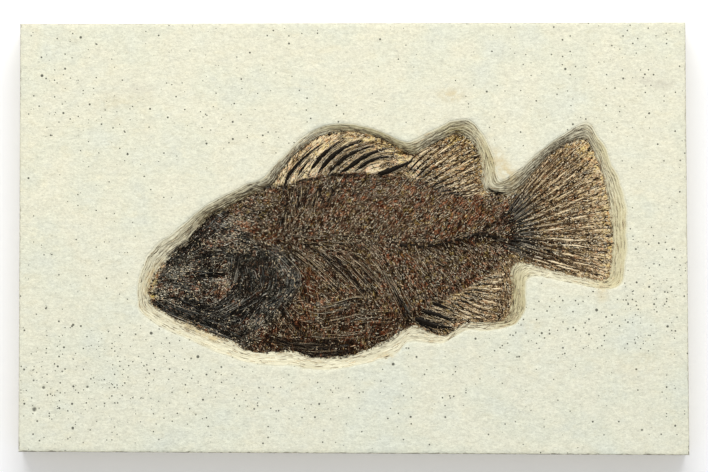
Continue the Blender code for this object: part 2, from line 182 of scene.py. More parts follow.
def cellNoise(x, y, size, seed):
    # Distance to the nearest of one jittered point per cell, in cells, and that cell's random number.
    across, up = x / size, y / size
    column, row = np.floor(across), np.floor(up)
    best = np.full(across.shape, 9.0)
    owner = np.zeros(across.shape)
    for stepX in (-1, 0, 1):
        for stepY in (-1, 0, 1):
            cellX, cellY = column + stepX, row + stepY
            pointX = cellX + 0.15 + 0.7 * latticeValue(cellX, cellY, seed)
            pointY = cellY + 0.15 + 0.7 * latticeValue(cellX, cellY, seed + 7)
            gap = np.hypot(across - pointX, up - pointY)
            closer = gap < best
            best = np.where(closer, gap, best)
            owner = np.where(closer, latticeValue(cellX, cellY, seed + 13), owner)
    return best, owner


def loopDistance(x, y, loop):
    # Distance to a closed loop, more than 0 inside: nearest point of each side, and how often a ray crosses.
    nearest = np.full(x.shape, 1e9)
    inside = np.zeros(x.shape, bool)
    for (ax, ay), (bx, by) in zip(loop, np.roll(loop, -1, axis=0)):
        dx, dy = bx - ax, by - ay
        share = np.clip(((x - ax) * dx + (y - ay) * dy) / max(dx * dx + dy * dy, 1e-12), 0.0, 1.0)
        nearest = np.minimum(nearest, (x - ax - share * dx) ** 2 + (y - ay - share * dy) ** 2)
        if ay != by:
            inside ^= ((ay > y) != (by > y)) & (x < ax + (y - ay) * dx / dy)
    return np.where(inside, 1.0, -1.0) * np.sqrt(nearest)


def blobs(x, y, places):
    # Sum of soft ovals, each centre x, y, half length, half width, turn in degrees, strength.
    total = np.zeros(x.shape)
    for cx, cy, long, wide, turn, strength in places:
        angle = math.radians(turn)
        along = (x - cx) * math.cos(angle) + (y - cy) * math.sin(angle)
        aside = (y - cy) * math.cos(angle) - (x - cx) * math.sin(angle)
        total += strength * np.exp(-((along / long) ** 2 + (aside / wide) ** 2))
    return total


def cover(x, y, places):
    # Soft ovals held between 0 and 1.
    return np.clip(blobs(x, y, places), 0, 1)


def around(x, y, centre):
    # Angle and distance of each place from a centre.
    return np.arctan2(y - centre[1], x - centre[0]), np.hypot(x - centre[0], y - centre[1])


def unit(arrows):
    # Each arrow divided by its own length.
    return arrows / np.hypot(arrows[..., 0], arrows[..., 1])[..., None]


def strides(line):
    # Length of each straight step between a line's points.
    return np.hypot(*np.diff(line, axis=0).T)


def distances(line):
    # How far along the line each of its points is: the sum of the steps before it.
    return np.concatenate(([0.0], np.cumsum(strides(line))))


def ringPlaces(run, length):
    # Bends a run into a circle of the same length, so that noise read there closes on itself.
    turn = run / length * 2 * math.pi
    return np.cos(turn) * length / circle, np.sin(turn) * length / circle


def resample(route, rings):
    # Even places along a smooth route.
    dense = curveAt(route, np.linspace(0, len(route) - 1, 40 * len(route)))
    run = distances(dense)
    return np.stack([np.interp(np.linspace(0, run[-1], rings), run, part) for part in dense.T], -1)


def valueAlong(route, x, part=1, steps=300):
    # One column of a smooth route, read at each x between many points on it.
    line = curveAt(route, np.linspace(0, len(route) - 1, steps))
    return np.interp(x, line[:, 0], line[:, part])


def linked(thing):
    # Puts a new thing into the scene.
    bpy.context.scene.collection.objects.link(thing)
    return thing


def makeMesh(name, points, faces, attributes, uv, material):
    # Faces come as whole arrays of corner numbers, one array for each face size.
    mesh = bpy.data.meshes.new(name)
    faces = [np.asarray(block, np.int32) for block in faces]
    sizes = np.concatenate([np.full(len(block), block.shape[1], np.int32) for block in faces])
    corners = np.concatenate([block.ravel() for block in faces])
    starts = np.concatenate(([0], np.cumsum(sizes)[:-1])).astype(np.int32)
    mesh.vertices.add(len(points))
    mesh.vertices.foreach_set("co", (np.asarray(points) * mm).astype(np.float32).ravel())
    mesh.loops.add(len(corners))
    mesh.loops.foreach_set("vertex_index", corners)
    mesh.polygons.add(len(sizes))
    mesh.polygons.foreach_set("loop_start", starts)
    mesh.update(calc_edges=True)
    mesh.uv_layers.new(name="grain").data.foreach_set("uv", uv[corners].astype(np.float32).ravel())
    for key, values in attributes.items():
        mesh.attributes.new(key, "FLOAT", "POINT").data.foreach_set("value", values.astype(np.float32))
    mesh.polygons.foreach_set("use_smooth", np.ones(len(sizes), bool))
    mesh.validate()
    thing = linked(bpy.data.objects.new(name, mesh))
    bm = bmesh.new()
    bm.from_mesh(mesh)
    bmesh.ops.recalc_face_normals(bm, faces=bm.faces[:])
    bm.to_mesh(mesh)
    bm.free()
    mesh.materials.append(material)
    return thing


def bandFaces(rows, columns, start):
    # Quads of a grid of rows whose columns run round; start is the number of its first point.
    column = np.arange(columns)
    after = (column + 1) % columns
    row = np.arange(rows - 1)[:, None] * columns + start
    corners = [row + column, row + columns + column, row + columns + after, row + after]
    return np.stack(corners, -1).reshape(-1, 4)


class signal:
    # A number or colour that varies over a surface; to add, take away or multiply makes a maths node.
    def __init__(self, socket):
        self.socket = socket

    def __add__(self, other):
        return maths("ADD", self, other)

    def __sub__(self, other):
        return maths("SUBTRACT", self, other)

    def __mul__(self, other):
        return maths("MULTIPLY", self, other)


making = {}  # the node tree that new nodes go into


def newMaterial(name):
    # A material with nodes; the functions below add to its tree.
    material = bpy.data.materials.new(name)
    material.use_nodes = True
    making["tree"] = material.node_tree
    return material, making["tree"].nodes["Principled BSDF"]


def feed(node, inputs):
    # Sets each input to a value, or links it to the signal that feeds it.
    for key, value in inputs.items():
        if isinstance(value, signal):
            making["tree"].links.new(value.socket, node.inputs[key])
        else:
            node.inputs[key].default_value = value


def addNode(kind, inputs, **settings):
    # One shader node, its settings first because they decide its inputs.
    node = making["tree"].nodes.new(kind)
    for key, value in settings.items():
        setattr(node, key, value)
    feed(node, inputs)
    return node


def maths(operation, first, second, clamp=False):
    # One operation on two numbers, held between 0 and 1 if clamped.
    node = addNode("ShaderNodeMath", {0: first, 1: second}, operation=operation, use_clamp=clamp)
    return signal(node.outputs[0])


def attribute(name):
    # A number that the mesh carries at each of its points.
    return signal(addNode("ShaderNodeAttribute", {}, attribute_name=name).outputs["Fac"])


def noiseNode(vector, scale, detail=2.0, roughness=0.5, distortion=0.0):
    # Cloudy noise from 0 to 1, whose marks are about 1 divided by the scale wide.
    inputs = {"Scale": scale, "Detail": detail, "Roughness": roughness, "Distortion": distortion}
    return signal(addNode("ShaderNodeTexNoise", {"Vector": vector, **inputs}).outputs["Fac"])


def cellNode(vector, scale, dimensions):
    # Distance to the nearest of one point per cell, and three random numbers of that point.
    inputs = {"Vector": vector, "Scale": scale, "Randomness": 1.0}
    cells = addNode("ShaderNodeTexVoronoi", inputs, voronoi_dimensions=dimensions)
    random = addNode("ShaderNodeSeparateColor", {0: signal(cells.outputs["Color"])})
    return signal(cells.outputs["Distance"]), [signal(random.outputs[part]) for part in range(3)]


def stretched(vector, scale, turn=0.0):
    # A place multiplied along each axis, then turned about Z by some degrees.
    inputs = {"Vector": vector, "Rotation": (0.0, 0.0, math.radians(turn)), "Scale": scale}
    return signal(addNode("ShaderNodeMapping", inputs, vector_type="POINT").outputs[0])


def linear(shade):
    # Screen colour 0 to 255 to linear light.
    parts = [part / 255 for part in shade]
    return tuple(part / 12.92 if part <= 0.04045 else ((part + 0.055) / 1.055) ** 2.4 for part in parts)


def ramp(factor, stops):
    # Blend through colours, each stop a place and a screen colour from 0 to 255.
    node = addNode("ShaderNodeValToRGB", {0: factor})
    elements = node.color_ramp.elements
    while len(elements) < len(stops):
        elements.new(0.5)
    for element, (place, shade) in zip(elements, stops):
        element.position = place
        element.color = (*linear(shade), 1.0)
    return signal(node.outputs["Color"])


def mixColour(factor, first, second, blend="MIX"):
    # From first to second as the factor goes from 0 to 1, or another blend of them; either may be a screen
    # colour.
    ends = [side if isinstance(side, signal) else (*linear(side), 1.0) for side in (first, second)]
    node = addNode("ShaderNodeMix", {0: factor, 6: ends[0], 7: ends[1]}, data_type="RGBA", blend_type=blend)
    return signal(node.outputs[2])


def tinted(colour, tint):
    # Each part of the colour multiplied by that part of the tint.
    return mixColour(1.0, colour, tint, "MULTIPLY")


def remap(value, low, high, toLow=0.0, toHigh=1.0, smooth=True):
    # Low to high becomes toLow to toHigh, along a smooth step or a straight line, and no further.
    inputs = {"Value": value, "From Min": low, "From Max": high, "To Min": toLow, "To Max": toHigh}
    kind = "SMOOTHSTEP" if smooth else "LINEAR"
    return signal(addNode("ShaderNodeMapRange", inputs, interpolation_type=kind).outputs["Result"])


def millimetres():
    # Place on the piece in millimetres, and along and across its grain.
    coordinates = addNode("ShaderNodeTexCoord", {})
    inputs = {0: signal(coordinates.outputs["Object"]), "Scale": 1 / mm}
    place = addNode("ShaderNodeVectorMath", inputs, operation="SCALE")
    return signal(place.outputs[0]), signal(coordinates.outputs["UV"])


def finishShader(shader, colour, relief, strength, depth, roughness, gloss):
    # The relief, times its depth, tips the surface; the rest goes straight into the shader.
    bump = addNode("ShaderNodeBump", {"Strength": strength, "Distance": depth, "Height": relief})
    feed(shader, {"Base Color": colour, "Normal": signal(bump.outputs[0])})
    feed(shader, {"Roughness": roughness, "Specular IOR Level": gloss})


# Limestone: the slab, its broken arris, and the hollow that steps down to the fish.
slabLook = {
    "marginColumns": 1240,
    "ledges": 7,
    "ledgeProfile": ((0.0, 0.0), (0.06, 0.10), (0.14, 0.55), (0.24, 0.92), (0.62, 0.96)),  # across, drop
    "ledgeWander": 0.085,
    "rimWander": 0.15,
    "plateauStep": 0.96,
    "plateauSwell": 0.05,
    "borderStep": 0.55,
    "arris": 0.26,
    "chips": 420,
    "sideRows": 13,
    "pitTries": 4000,
    "pits": 70,
    "seed": 11,
}

# Pits wide enough to see, each centre x, y and radius.
namedPits = (
    (-102.3, -54.6, 1), (-99.3, -47.6, 0.75), (-85.3, -47.4, 0.6), (-52.1, -38.3, 0.5), (-59, -41.7, 0.45),
    (-67.2, -40.7, 0.42), (-83.3, -44.5, 0.35), (-102.5, -45.3, 0.42), (-97.1, -49.7, 0.42),
    (-94, -49.3, 0.38),
    (-100.6, -64.6, 0.42), (-50.6, -56.3, 0.38), (-60.8, -57.4, 0.35), (-51.9, -44.7, 0.34),
    (-44.2, -42.7, 0.4),
    (-84.4, -61.2, 0.38), (61.8, -23.1, 0.4), (74, -26.9, 0.42), (66.9, -26.6, 0.36),
    (53.5, -27.6, 0.34), (82.6, -24.4, 0.4), (50, -30.8, 0.34), (87.1, -19.6, 0.38), (92.2, -61.2, 0.5),
    (46.8, -34.9, 0.36), (52.2, -37.8, 0.42), (49.6, -36.4, 0.34), (96, -8, 0.4), (99.5, -17, 0.42),
)

# Colour fields, each oval centre x, y, half length, half width, turn, strength.
speckleFields = (
    (-82, -46, 34, 14, 4, 1), (97, -12, 14, 20, 0, 0.95),
    (90, 52, 26, 14, 0, 0.35), (-95, 50, 22, 18, 0, 0.25),
    (-20, -50, 34, 9, 0, 0.35), (66, -28, 24, 10, -10, 0.6), (-60, 34, 40, 10, 0, 0.2),
)
tanFields = (
    (31, 46, 3.6, 1.8, 0, 0.8), (79.4, -17, 1.8, 3, 0, 0.7), (47, 24, 2.4, 6, 30, 0.9),
    (50.5, 20.5, 2.6, 2, 0, 0.6), (11, -37.6, 2.4, 1, 0, 0.8), (-45.6, -31.6, 3, 1, -25, 0.9),
    (-75, 44, 9, 2, 0, 0.25), (57, -28, 3, 2, 0, 0.3), (90, -40, 8, 4, 0, 0.2),
    (-65.8, -14.6, 0.9, 4.6, -16, 1), (-51, -28.9, 6.5, 0.9, -24, 1), (-63.2, -8.6, 0.9, 3.4, -36, 0.7),
)
smudgeFields = (
    (-70.0, 48.0, 6.5, 1.5, 0.0, 0.9), (-76.0, 41.0, 1.2, 3.0, 0.0, 0.5), (99.0, 49.5, 7.0, 1.4, -6.0, 1.0),
    (92.0, 51.0, 4.0, 1.0, 0.0, 0.5),
)
oliveFields = (
    (86, 2, 5.5, 30, 0, 1), (43.5, 26, 4, 9, 24, 1), (53, -17.5, 5, 10, 0, 1.2),
    (31, 35.5, 8, 2.4, 0, 0.8), (-67, -14, 2.4, 9, 10, 0.25), (81, 29, 4, 7, 25, 0.9),
    (0, 35.6, 15, 2.6, -4, 0.9), (14, 31, 8, 3, -25, 0.9), (-44, 9.5, 16, 3.4, 33, 0.35),
    (48, -27, 6, 3, 0, 0.6), (80, -14, 6, 3, 0, 0.6),
)
# Soot on the upper walls of the hollow, and painted shade there, where the walls face away from the light.
sootAndShadeFields = (
    (-38, 12, 15, 1.7, 29, 0.6), (-58.5, -2, 8, 1.5, 38, 0.45), (0, 35.2, 16, 1.1, -3, 0.8),
    (14, 30.4, 6, 1.4, -27, 0.9), (29, 34.2, 8, 1.5, 22, 0.65), (44.4, 15.3, 2.6, 0.55, -22, 1.3),
    (68, 32, 9, 1.2, 32, 0.55), (-20, 28, 9, 0.9, 48, 0.5), (-49, 5.4, 5, 1.1, 50, 0.5),
)
# How strongly the hollow is darkened beside the fish and at its rim, at even places along each stretch:
# real stain, plus painted shade that is heaviest on the upper stretches, whose walls face away from the
# light.
hollowStainAndShade = {
    "snout": ((0.24, 0.12), (0.34, 0.16), (0.42, 0.2)),
    "nape": ((0.62, 0.22), (0.7, 0.28), (0.84, 0.4), (1, 0.36), (0.94, 0.24)),
    "spinyDorsal": ((0.64, 0.16), (0.42, 0.16), (0.58, 0.12), (0.78, 0.14), (0.88, 0.28)),
    "softDorsal": ((0.8, 0.24), (0.98, 0.34), (0.56, 0.16), (0.46, 0.14), (0.44, 0.26)),
    "tail": (
        (0.84, 0.5), (0.88, 0.46), (0.84, 0.38), (0.62, 0.2), (0.4, 0.08), (0.32, 0.06), (0.26, 0.06),
        (0.24, 0.1), (0.36, 0.18),
    ),
    "analFin": ((0.56, 0.22), (0.56, 0.18), (0.34, 0.12), (0.2, 0.1), (0.36, 0.14)),
    "belly": ((0.28, 0.08), (0.16, 0.04), (0.14, 0.02), (0.18, 0.02)),
    "jaw": ((0.3, 0.05), (0.24, 0.06), (0.38, 0.16)),
}


def plateauHeight(x, y):
    # Slow swells of the split face, with a little short roughness.
    slow = softNoise(x, y, 21.0, slabLook["seed"], 2)
    short = softNoise(x, y * 1.6, 3.1, slabLook["seed"] + 3, 2)
    return slabTop - 0.03 + slabLook["plateauSwell"] * slow + 0.018 * short


def marginPlaces(count):
    # Even spacing along the middle of the margin and its rim: distances, whole length, places in the pairs.
    dense = np.linspace(0.0, len(marginPairs), len(marginPairs) * 24 + 1)
    run = distances(curveAt(marginPairs.mean(1), dense, closed=True))
    even = np.arange(count) / count * run[-1]
    return even, run[-1], np.interp(even, run, dense)


def marginColumns(count):
    # The fish and rim points at even places along the margin, and the arrows from fish to rim.
    run, length, places = marginPlaces(count)
    fish, rim = (curveAt(marginPairs[:, side], places, closed=True) for side in (0, 1))
    return run, length, fish, rim - fish


def hollowBand():
    # Rows from the rim down to the fish: each ledge is a short steep riser and a long flat tread, whose
    # place across wanders with a slow noise along the margin. Three more rows dip under the fish.
    look = slabLook
    run, length, fish, outward = marginColumns(look["marginColumns"])
    ring = ringPlaces(run, length)
    count = look["ledges"]
    strength = [0.22 + (0.5 + 0.5 * softNoise(*ring, 11.0, 40 + ledge, 2)) ** 1.6 for ledge in range(count)]
    strength = np.stack(strength)
    strength /= strength.sum(0)
    above = np.concatenate([np.zeros((1, len(run))), np.cumsum(strength, 0)])
    rows, drops = [], []
    for ledge in range(count):
        wander = softNoise(*ring, 7.0, 70 + ledge, 4) + 0.6 * softNoise(*ring, 26.0, 90, 2)
        wander += 0.35 * softNoise(*ring, 1.1, 110 + ledge, 2)
        for across, fall in look["ledgeProfile"]:
            place = (ledge + across) / count
            window = min(1.0, 4.0 * place) * min(1.0, 5.0 * (1.0 - place))
            rows.append(np.clip(place + look["ledgeWander"] * window * wander, 0.0, 1.0))
            drops.append(above[ledge] + strength[ledge] * fall)
    rows.append(np.ones(len(run)))
    drops.append(np.ones(len(run)))
    rows, drops = np.maximum.accumulate(np.array(rows), 0), np.array(drops)
    shares = 1.0 - rows + look["rimWander"] * softNoise(*ring, 5.0, 31, 3) * (1 - rows)
    inner = np.array((-0.10, -0.22, -0.24))[:, None] * np.ones(len(run))
    shares = np.concatenate([shares, inner])
    points = fish + outward * shares[..., None]
    x, y = points[..., 0], points[..., 1]
    bottom = heights["matrixAtFish"] + 0.05 * softNoise(x, y, 4.0, 55, 2)
    ledgeX, ledgeY = x[:len(rows)], y[:len(rows)]
    level = plateauHeight(ledgeX, ledgeY)
    z = level - (level - bottom[:len(rows)]) * drops
    z += 0.025 * softNoise(ledgeX, ledgeY, 0.9, 61, 2) * np.minimum(1.0, rows * 8)
    z -= 0.45 * blobs(ledgeX, ledgeY, ((44.4, 15.3, 2.4, 0.5, -22.0, 1.0),))  # a gap at the root of the tail
    floor = np.full((1, len(run)), heights["pocketFloor"])
    z = np.concatenate([z, bottom[-3:-2] - 0.12, bottom[-2:-1] - 0.4, floor])
    across = np.concatenate([rows, np.ones((3, len(run)))])
    uv = np.stack([np.broadcast_to(run, across.shape), across * np.hypot(*outward.T)], -1)
    return np.dstack([x, y, z]), across, uv


def stainAndShadeAlong(columns):
    # Stain and painted shade beside the fish and at the rim for each column of the band, spread evenly
    # over each stretch.
    places, values, start = [], [], 0
    for name, pairs in margin.items():
        levels = hollowStainAndShade[name]
        places += [start + len(pairs) * (number + 0.5) / len(levels) for number in range(len(levels))]
        values += levels
        start += len(pairs)
    here = marginPlaces(columns)[2]
    return [np.interp(here, places, side, period=start) for side in zip(*values)]


def borderBand():
    # Rows from the top edge down the sawn sides: a chipped arris, then thin beds of stone.
    look = slabLook
    rng = np.random.default_rng(look["seed"])
    signs = np.array(((-1, 1), (1, 1), (1, -1), (-1, -1)))
    corners = signs * (slabHigh[:2] - np.array(cornerShortfall))
    points, inward = [], []
    for side in range(4):
        start, end = corners[side], corners[(side + 1) % 4]
        count = int(np.hypot(*(end - start)) / look["borderStep"])
        points.append(start + (end - start) * (np.arange(count) / count)[:, None])
        aside = np.array((end - start)[::-1]) * (1, -1) / np.hypot(*(end - start))
        inward.append(np.tile(aside, (count, 1)))
    points, inward = np.concatenate(points), np.concatenate(inward)
    inward = (inward + np.roll(inward, 1, axis=0)) / 2
    run = distances(points)
    length = run[-1] + look["borderStep"]
    ring = ringPlaces(run, length)
    places = rng.random(look["chips"]) * length
    half = rng.uniform(0.3, 1.9, look["chips"]) * rng.uniform(0.3, 1.0, look["chips"])
    deep = rng.uniform(0.05, 0.55, look["chips"]) * rng.uniform(0.2, 1.0, look["chips"])
    gap = (run[:, None] - places + length / 2) % length - length / 2
    chips = (deep * np.sqrt(np.clip(1 - (gap / half) ** 2, 0, None))).max(1)
    edge = look["arris"] * (1 + 0.5 * softNoise(*ring, 2.2, 5, 2)) + chips
    rows = []
    for inset, fall in ((1.0, 0.0), (0.52, 0.3), (0.0, 0.95)):
        place = points + inward * (edge * inset + 0.05)[:, None]
        rows.append(np.column_stack([place, plateauHeight(*place.T) - edge * fall - 0.01]))
    top = rows[-1][:, 2]
    for row in range(1, look["sideRows"] + 1):
        share = row / look["sideRows"]
        z = top + (0.3 - top) * share
        bed = softNoise(z * 3.1, ring[0] * 0.02, 1.0, 21, 2)
        bed = bed + 0.5 * softNoise(ring[0] + z, ring[1], 5.0, 23, 3)
        inset = 0.05 + 0.09 * (1 + bed) * min(1.0, 4 * (1 - share) + 0.4)
        rows.append(np.column_stack([points + inward * inset[:, None], z]))
    rows.append(np.column_stack([points + inward * 0.3, np.zeros(len(points))]))
    return np.array(rows)


def scatterPits():
    # Small pits, thickest where the face is speckled and clear of the hollow, and then the named ones.
    tries = slabLook["pitTries"]
    rng = np.random.default_rng(slabLook["seed"] + 1)
    place = rng.uniform(-1, 1, (tries, 2)) * (slabHigh[:2] - 2.0)
    density = 0.12 + blobs(*place.T, speckleFields)
    clear = loopDistance(*place.T, marginPairs[:, 1]) < -1.5
    chosen = place[(rng.random(tries) < density) & clear][:slabLook["pits"]]
    size = rng.uniform(0.16, 0.42, len(chosen))
    return np.concatenate([np.column_stack([chosen, size]), np.array(namedPits)])


def plateauPoints(rimLoop, borderLoop, pits):
    # A jittered grid between the rim and the arris, with rings of points at each pit.
    rng = np.random.default_rng(slabLook["seed"] + 2)
    step = slabLook["plateauStep"]
    x, y = np.meshgrid(*(np.arange(-reach, reach, step) for reach in slabHigh[:2]))
    x, y = (axis.ravel() + rng.uniform(-0.3, 0.3, axis.size) * step for axis in (x, y))
    keep = (loopDistance(x, y, rimLoop[::3, :2]) < -0.5) & (loopDistance(x, y, borderLoop[::8, :2]) > 0.6)
    x, y = x[keep], y[keep]
    gap = np.hypot(x[:, None] - pits[:, 0], y[:, None] - pits[:, 1]) / pits[:, 2]
    x, y = (axis[(gap > 1.8).all(1)] for axis in (x, y))
    rings = [pits[:, :2]]
    for reach, count in ((0.55, 6), (1.0, 8), (1.45, 8)):
        for turn in np.arange(count) / count * 2 * math.pi + reach:
            rings.append(pits[:, :2] + pits[:, 2:] * reach * np.array((math.cos(turn), math.sin(turn))))
    return np.concatenate([np.column_stack([x, y]), *rings])


def fillBetween(loops, sides, points):
    # Triangles through all the points that hold to the loops' edges. One whose corners are all on a loop
    # stays only on that loop's wanted side, 1 within and -1 without.
    flat = np.concatenate([loop[:, :2] for loop in loops] + [points])
    edges, start = [], 0
    for loop in loops:
        number = np.arange(len(loop))
        edges += (np.column_stack([number, (number + 1) % len(loop)]) + start).tolist()
        start += len(loop)
    result = delaunay_2d_cdt([Vector(place) for place in flat.tolist()], edges, [], 0, 1e-7, True)
    first = np.array([group[0] if group else -1 for group in result[3]])
    triangles = first[np.array(result[2])]
    middle = flat[triangles].mean(1)
    keep, start = np.ones(len(triangles), bool), 0
    for loop, side in zip(loops, sides):
        own = ((triangles >= start) & (triangles < start + len(loop))).all(1)
        keep[own] = side * loopDistance(*middle[own].T, loop[:, :2]) > 0
        start += len(loop)
    return triangles[keep]


def limestoneMaterial():
    # Cream stone with faint patches, then specks, the stained hollow and bedded sides; painted shade darkens
    # the pits, the arris chips, the hollow's upper walls and the face towards the bottom.
    material, shader = newMaterial("limestoneFace")
    place, grain = millimetres()
    hollow, olive = attribute("hollow"), attribute("olive")
    patch = noiseNode(stretched(place, (1.0, 1.7, 1.0)), 0.21, 3.0, 0.6)
    stroke = noiseNode(stretched(place, (0.55, 1.15, 1.0), -14), 0.85, 3.0, 0.65, 0.7)
    fine = noiseNode(stretched(place, (0.85, 1.2, 1.0), 12), 1.6, 3.0, 0.8, 0.4)
    cream = ramp(noiseNode(place, 0.055, 3.0), (
        (0.30, (221, 220, 199)), (0.46, (223, 220, 197)), (0.56, (220, 219, 197)), (0.70, (217, 218, 200)),
    ))
    yellow = mixColour(remap(patch, 0.52, 0.72, 0.0, 0.24), cream, (222, 214, 182))
    pale = mixColour(remap(patch, 0.30, 0.46, 0.22, 0.0), yellow, (214, 216, 202))
    worn = (stroke - 0.5) * 0.42 + (fine - 0.5) * 0.80
    shade = worn + 1.0 - remap(fine + stroke * 0.35, 0.50, 0.34, 0.0, 0.16)
    grey = addNode("ShaderNodeCombineColor", {0: shade, 1: shade, 2: shade})
    colour = tinted(pale, signal(grey.outputs[0]))
    up = signal(addNode("ShaderNodeSeparateXYZ", {0: place}).outputs[1])
    # Painted shade: the face is tinted a little darker and cooler towards the bottom, away from the key
    # light.
    colour = mixColour(remap(up, 30.0, -66.0), colour, tinted(colour, (250, 252, 255)))

    spots = None
    for scale, radius, share in ((0.40, 0.17, 0.26), (0.72, 0.20, 0.40), (1.2, 0.24, 0.42)):
        distance, random = cellNode(place, scale, "3D")
        wanted = maths("LESS_THAN", random[0], attribute("speckle") * share)
        edge = random[1] * (radius * 1.4) + (fine - 0.5) * 0.12 - distance
        spot = remap(edge, -0.02, 0.06) * wanted
        spots = spot if spots is None else maths("MAXIMUM", spots, spot)
    colour = mixColour(spots * 0.88, colour, (66, 66, 56))
    # Painted shade: each pit is painted dark grey inside, as the shade in its hollow.
    pit = remap(attribute("pit") + (fine - 0.5), 0.35, 0.75)
    colour = mixColour(pit * 0.84, colour, (82, 82, 72))
    smudge = maths("MULTIPLY", attribute("smudge"), remap(patch, 0.34, 0.62), clamp=True)
    colour = mixColour(smudge * 0.34, colour, (176, 170, 160))
    tan = maths("MULTIPLY", attribute("tan"), remap(noiseNode(place, 0.5, 3.0), 0.3, 0.6), clamp=True)

    streak = noiseNode(stretched(grain, (0.10, 2.3, 1.0)), 1.0, 3.0, 0.6)
    thread = noiseNode(stretched(grain, (0.55, 3.2, 1.0)), 1.0, 2.0, 0.5)
    bare = mixColour(remap(streak, 0.35, 0.65), (237, 232, 204), (217, 211, 181))
    bare = mixColour(olive * 0.55, bare, (206, 195, 146))
    deep = remap(thread, 0.36, 0.62)
    stainAndShade = mixColour(deep, (134, 121, 94), (70, 58, 38))
    stainAndShade = mixColour(olive, stainAndShade, mixColour(deep, (160, 146, 92), (104, 88, 46)))
    # Painted shade: the stain and soot in the hollow also darken the walls that face away from the light.
    stainedAndShaded = attribute("stainAndShade") + attribute("sootAndShade") * 0.18
    lines = remap(thread, 0.34, 0.66, -0.5, 0.5, smooth=False)
    uneven = (streak - 0.5) * 1.8 + lines + (fine - 0.5) * 0.9
    stainedAndShaded = maths("ADD", stainedAndShaded, uneven * (stainedAndShaded * 0.6 + 0.16), clamp=True)
    colour = mixColour(hollow, colour, mixColour(stainedAndShaded, bare, stainAndShade))
    colour = mixColour(tan * 0.62, colour, (200, 176, 122))

    beds = ramp(noiseNode(stretched(place, (0.03, 0.03, 1.5)), 1.0, 4.0, 0.65, 0.2), (
        (0.30, (176, 160, 128)), (0.42, (214, 203, 172)), (0.55, (232, 226, 200)), (0.66, (198, 184, 150)),
    ))
    dust = mixColour(remap(fine, 0.35, 0.7, 0.0, 0.5), beds, (238, 234, 214))
    colour = mixColour(attribute("side"), colour, dust)
    # Painted shade: the broken arris is painted darker, twice as strongly along the bottom edge, which faces
    # away from the key light.
    arrisShadeMask = maths("MULTIPLY", attribute("arrisShadeRows"), remap(stroke, 0.35, 0.6), clamp=True)
    colour = mixColour(arrisShadeMask * remap(up, -60.0, -67.0, 0.5, 1.0), colour, (124, 120, 104))
    relief = stroke * 0.9 + fine * 0.8 - spots * 0.5 + thread * hollow * 1.3
    finishShader(shader, colour, relief, 0.9, 0.16 * mm, remap(fine, 0.3, 0.7, 0.82, 0.96), 0.22)
    return material


def buildLimestone():
    # The hollow and the border are grids; triangles through scattered points fill the face between them.
    band, across, uvBand = hollowBand()
    border = borderBand()
    pits = scatterPits()
    rim, arris = band[0], border[0]
    points = plateauPoints(rim, arris, pits)
    triangles = fillBetween((rim, arris), (-1, 1), points)
    bandEnd = across.size
    borderEnd = bandEnd + border[..., 0].size
    starts = ((rim, 0), (arris, bandEnd), (points, borderEnd))
    numbers = np.concatenate([np.arange(len(part)) + start for part, start in starts])
    gap = np.hypot(points[:, :1] - pits[:, 0], points[:, 1:] - pits[:, 1]) / pits[:, 2]
    dent = np.exp(-(gap ** 2) * 1.3)
    z = plateauHeight(*points.T) - (dent * pits[:, 2] * 0.45).max(1)
    allPoints = np.concatenate([band.reshape(-1, 3), border.reshape(-1, 3), np.column_stack([points, z])])
    faces = [
        numbers[triangles],
        bandFaces(*band.shape[:2], 0),
        bandFaces(*border.shape[:2], bandEnd),
        np.arange(bandEnd - len(rim), bandEnd)[None, :],
        np.arange(borderEnd - len(arris), borderEnd)[None, :],
    ]

    def only(start, values):
        # Values on one part, 0 on the others.
        whole = np.zeros(len(allPoints))
        whole[start:start + values.size] = values.ravel()
        return whole

    x, y = allPoints[:, 0], allPoints[:, 1]
    inner, outer = stainAndShadeAlong(len(rim))
    row = np.repeat(np.arange(len(border)), len(arris))
    attributes = {
        "hollow": only(0, smoothStep(0.0, 0.17, across)),
        "side": only(bandEnd, row >= 2),
        "arrisShadeRows": only(bandEnd, (row >= 1) & (row <= 2)),
        "pit": only(borderEnd, np.where(pits[:, 2] > 0.3, dent, dent * 0.6).max(1)),
        "stainAndShade": only(0, inner * across ** 1.3 + outer * (1 - across ** 1.3)),
        "speckle": np.clip(0.13 + blobs(x, y, speckleFields), 0, 1),
        "tan": cover(x, y, tanFields),
        "smudge": cover(x, y, smudgeFields),
        "olive": cover(x, y, oliveFields),
        "sootAndShade": cover(x, y, sootAndShadeFields) * smoothStep(0.25, 0.75, only(0, across)),
    }
    uv = np.zeros((len(allPoints), 2))
    uv[:bandEnd] = uvBand.reshape(-1, 2)
    slab = makeMesh("limestoneSlab", allPoints, faces, attributes, uv, limestoneMaterial())
    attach(slab, "root")
    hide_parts("limestone_slab")
    print("limestone:", len(allPoints), "points")


# The film of the fish: body, head and fin skin, with its scales.
skinLook = {
    "marginColumns": 1400,
    "pointStep": 0.303,
    "lift": 0.34,
    "overlap": 0.9,  # how far the film runs on under the rock round it
    "ragged": (0.55, 0.30),  # slow and quick wander of the line where the film meets the rock
    "scaleSize": 1.05,
    "scaleRise": 0.11,
    "finRidge": 0.09,
    "rayWidth": 1.6,
    "seed": 5,
}

columnRoute = (
    (-33.0, -1.5), (-20.0, 0.5), (-7.0, 1.0), (6.0, 0.9), (15.0, -1.7), (25.0, -2.3), (33.0, -0.2),
    (40.5, 1.4), (48.5, -0.4),
)
gillCover = (-28.0, -13.0)
# Rays fan out from these centres, and the spines bend round theirs.
fanCentres = {"tail": (44.0, 2.4), "soft": (-6.0, 8.3), "anal": (14.8, -17.0), "spiny": (10.0, 7.6)}

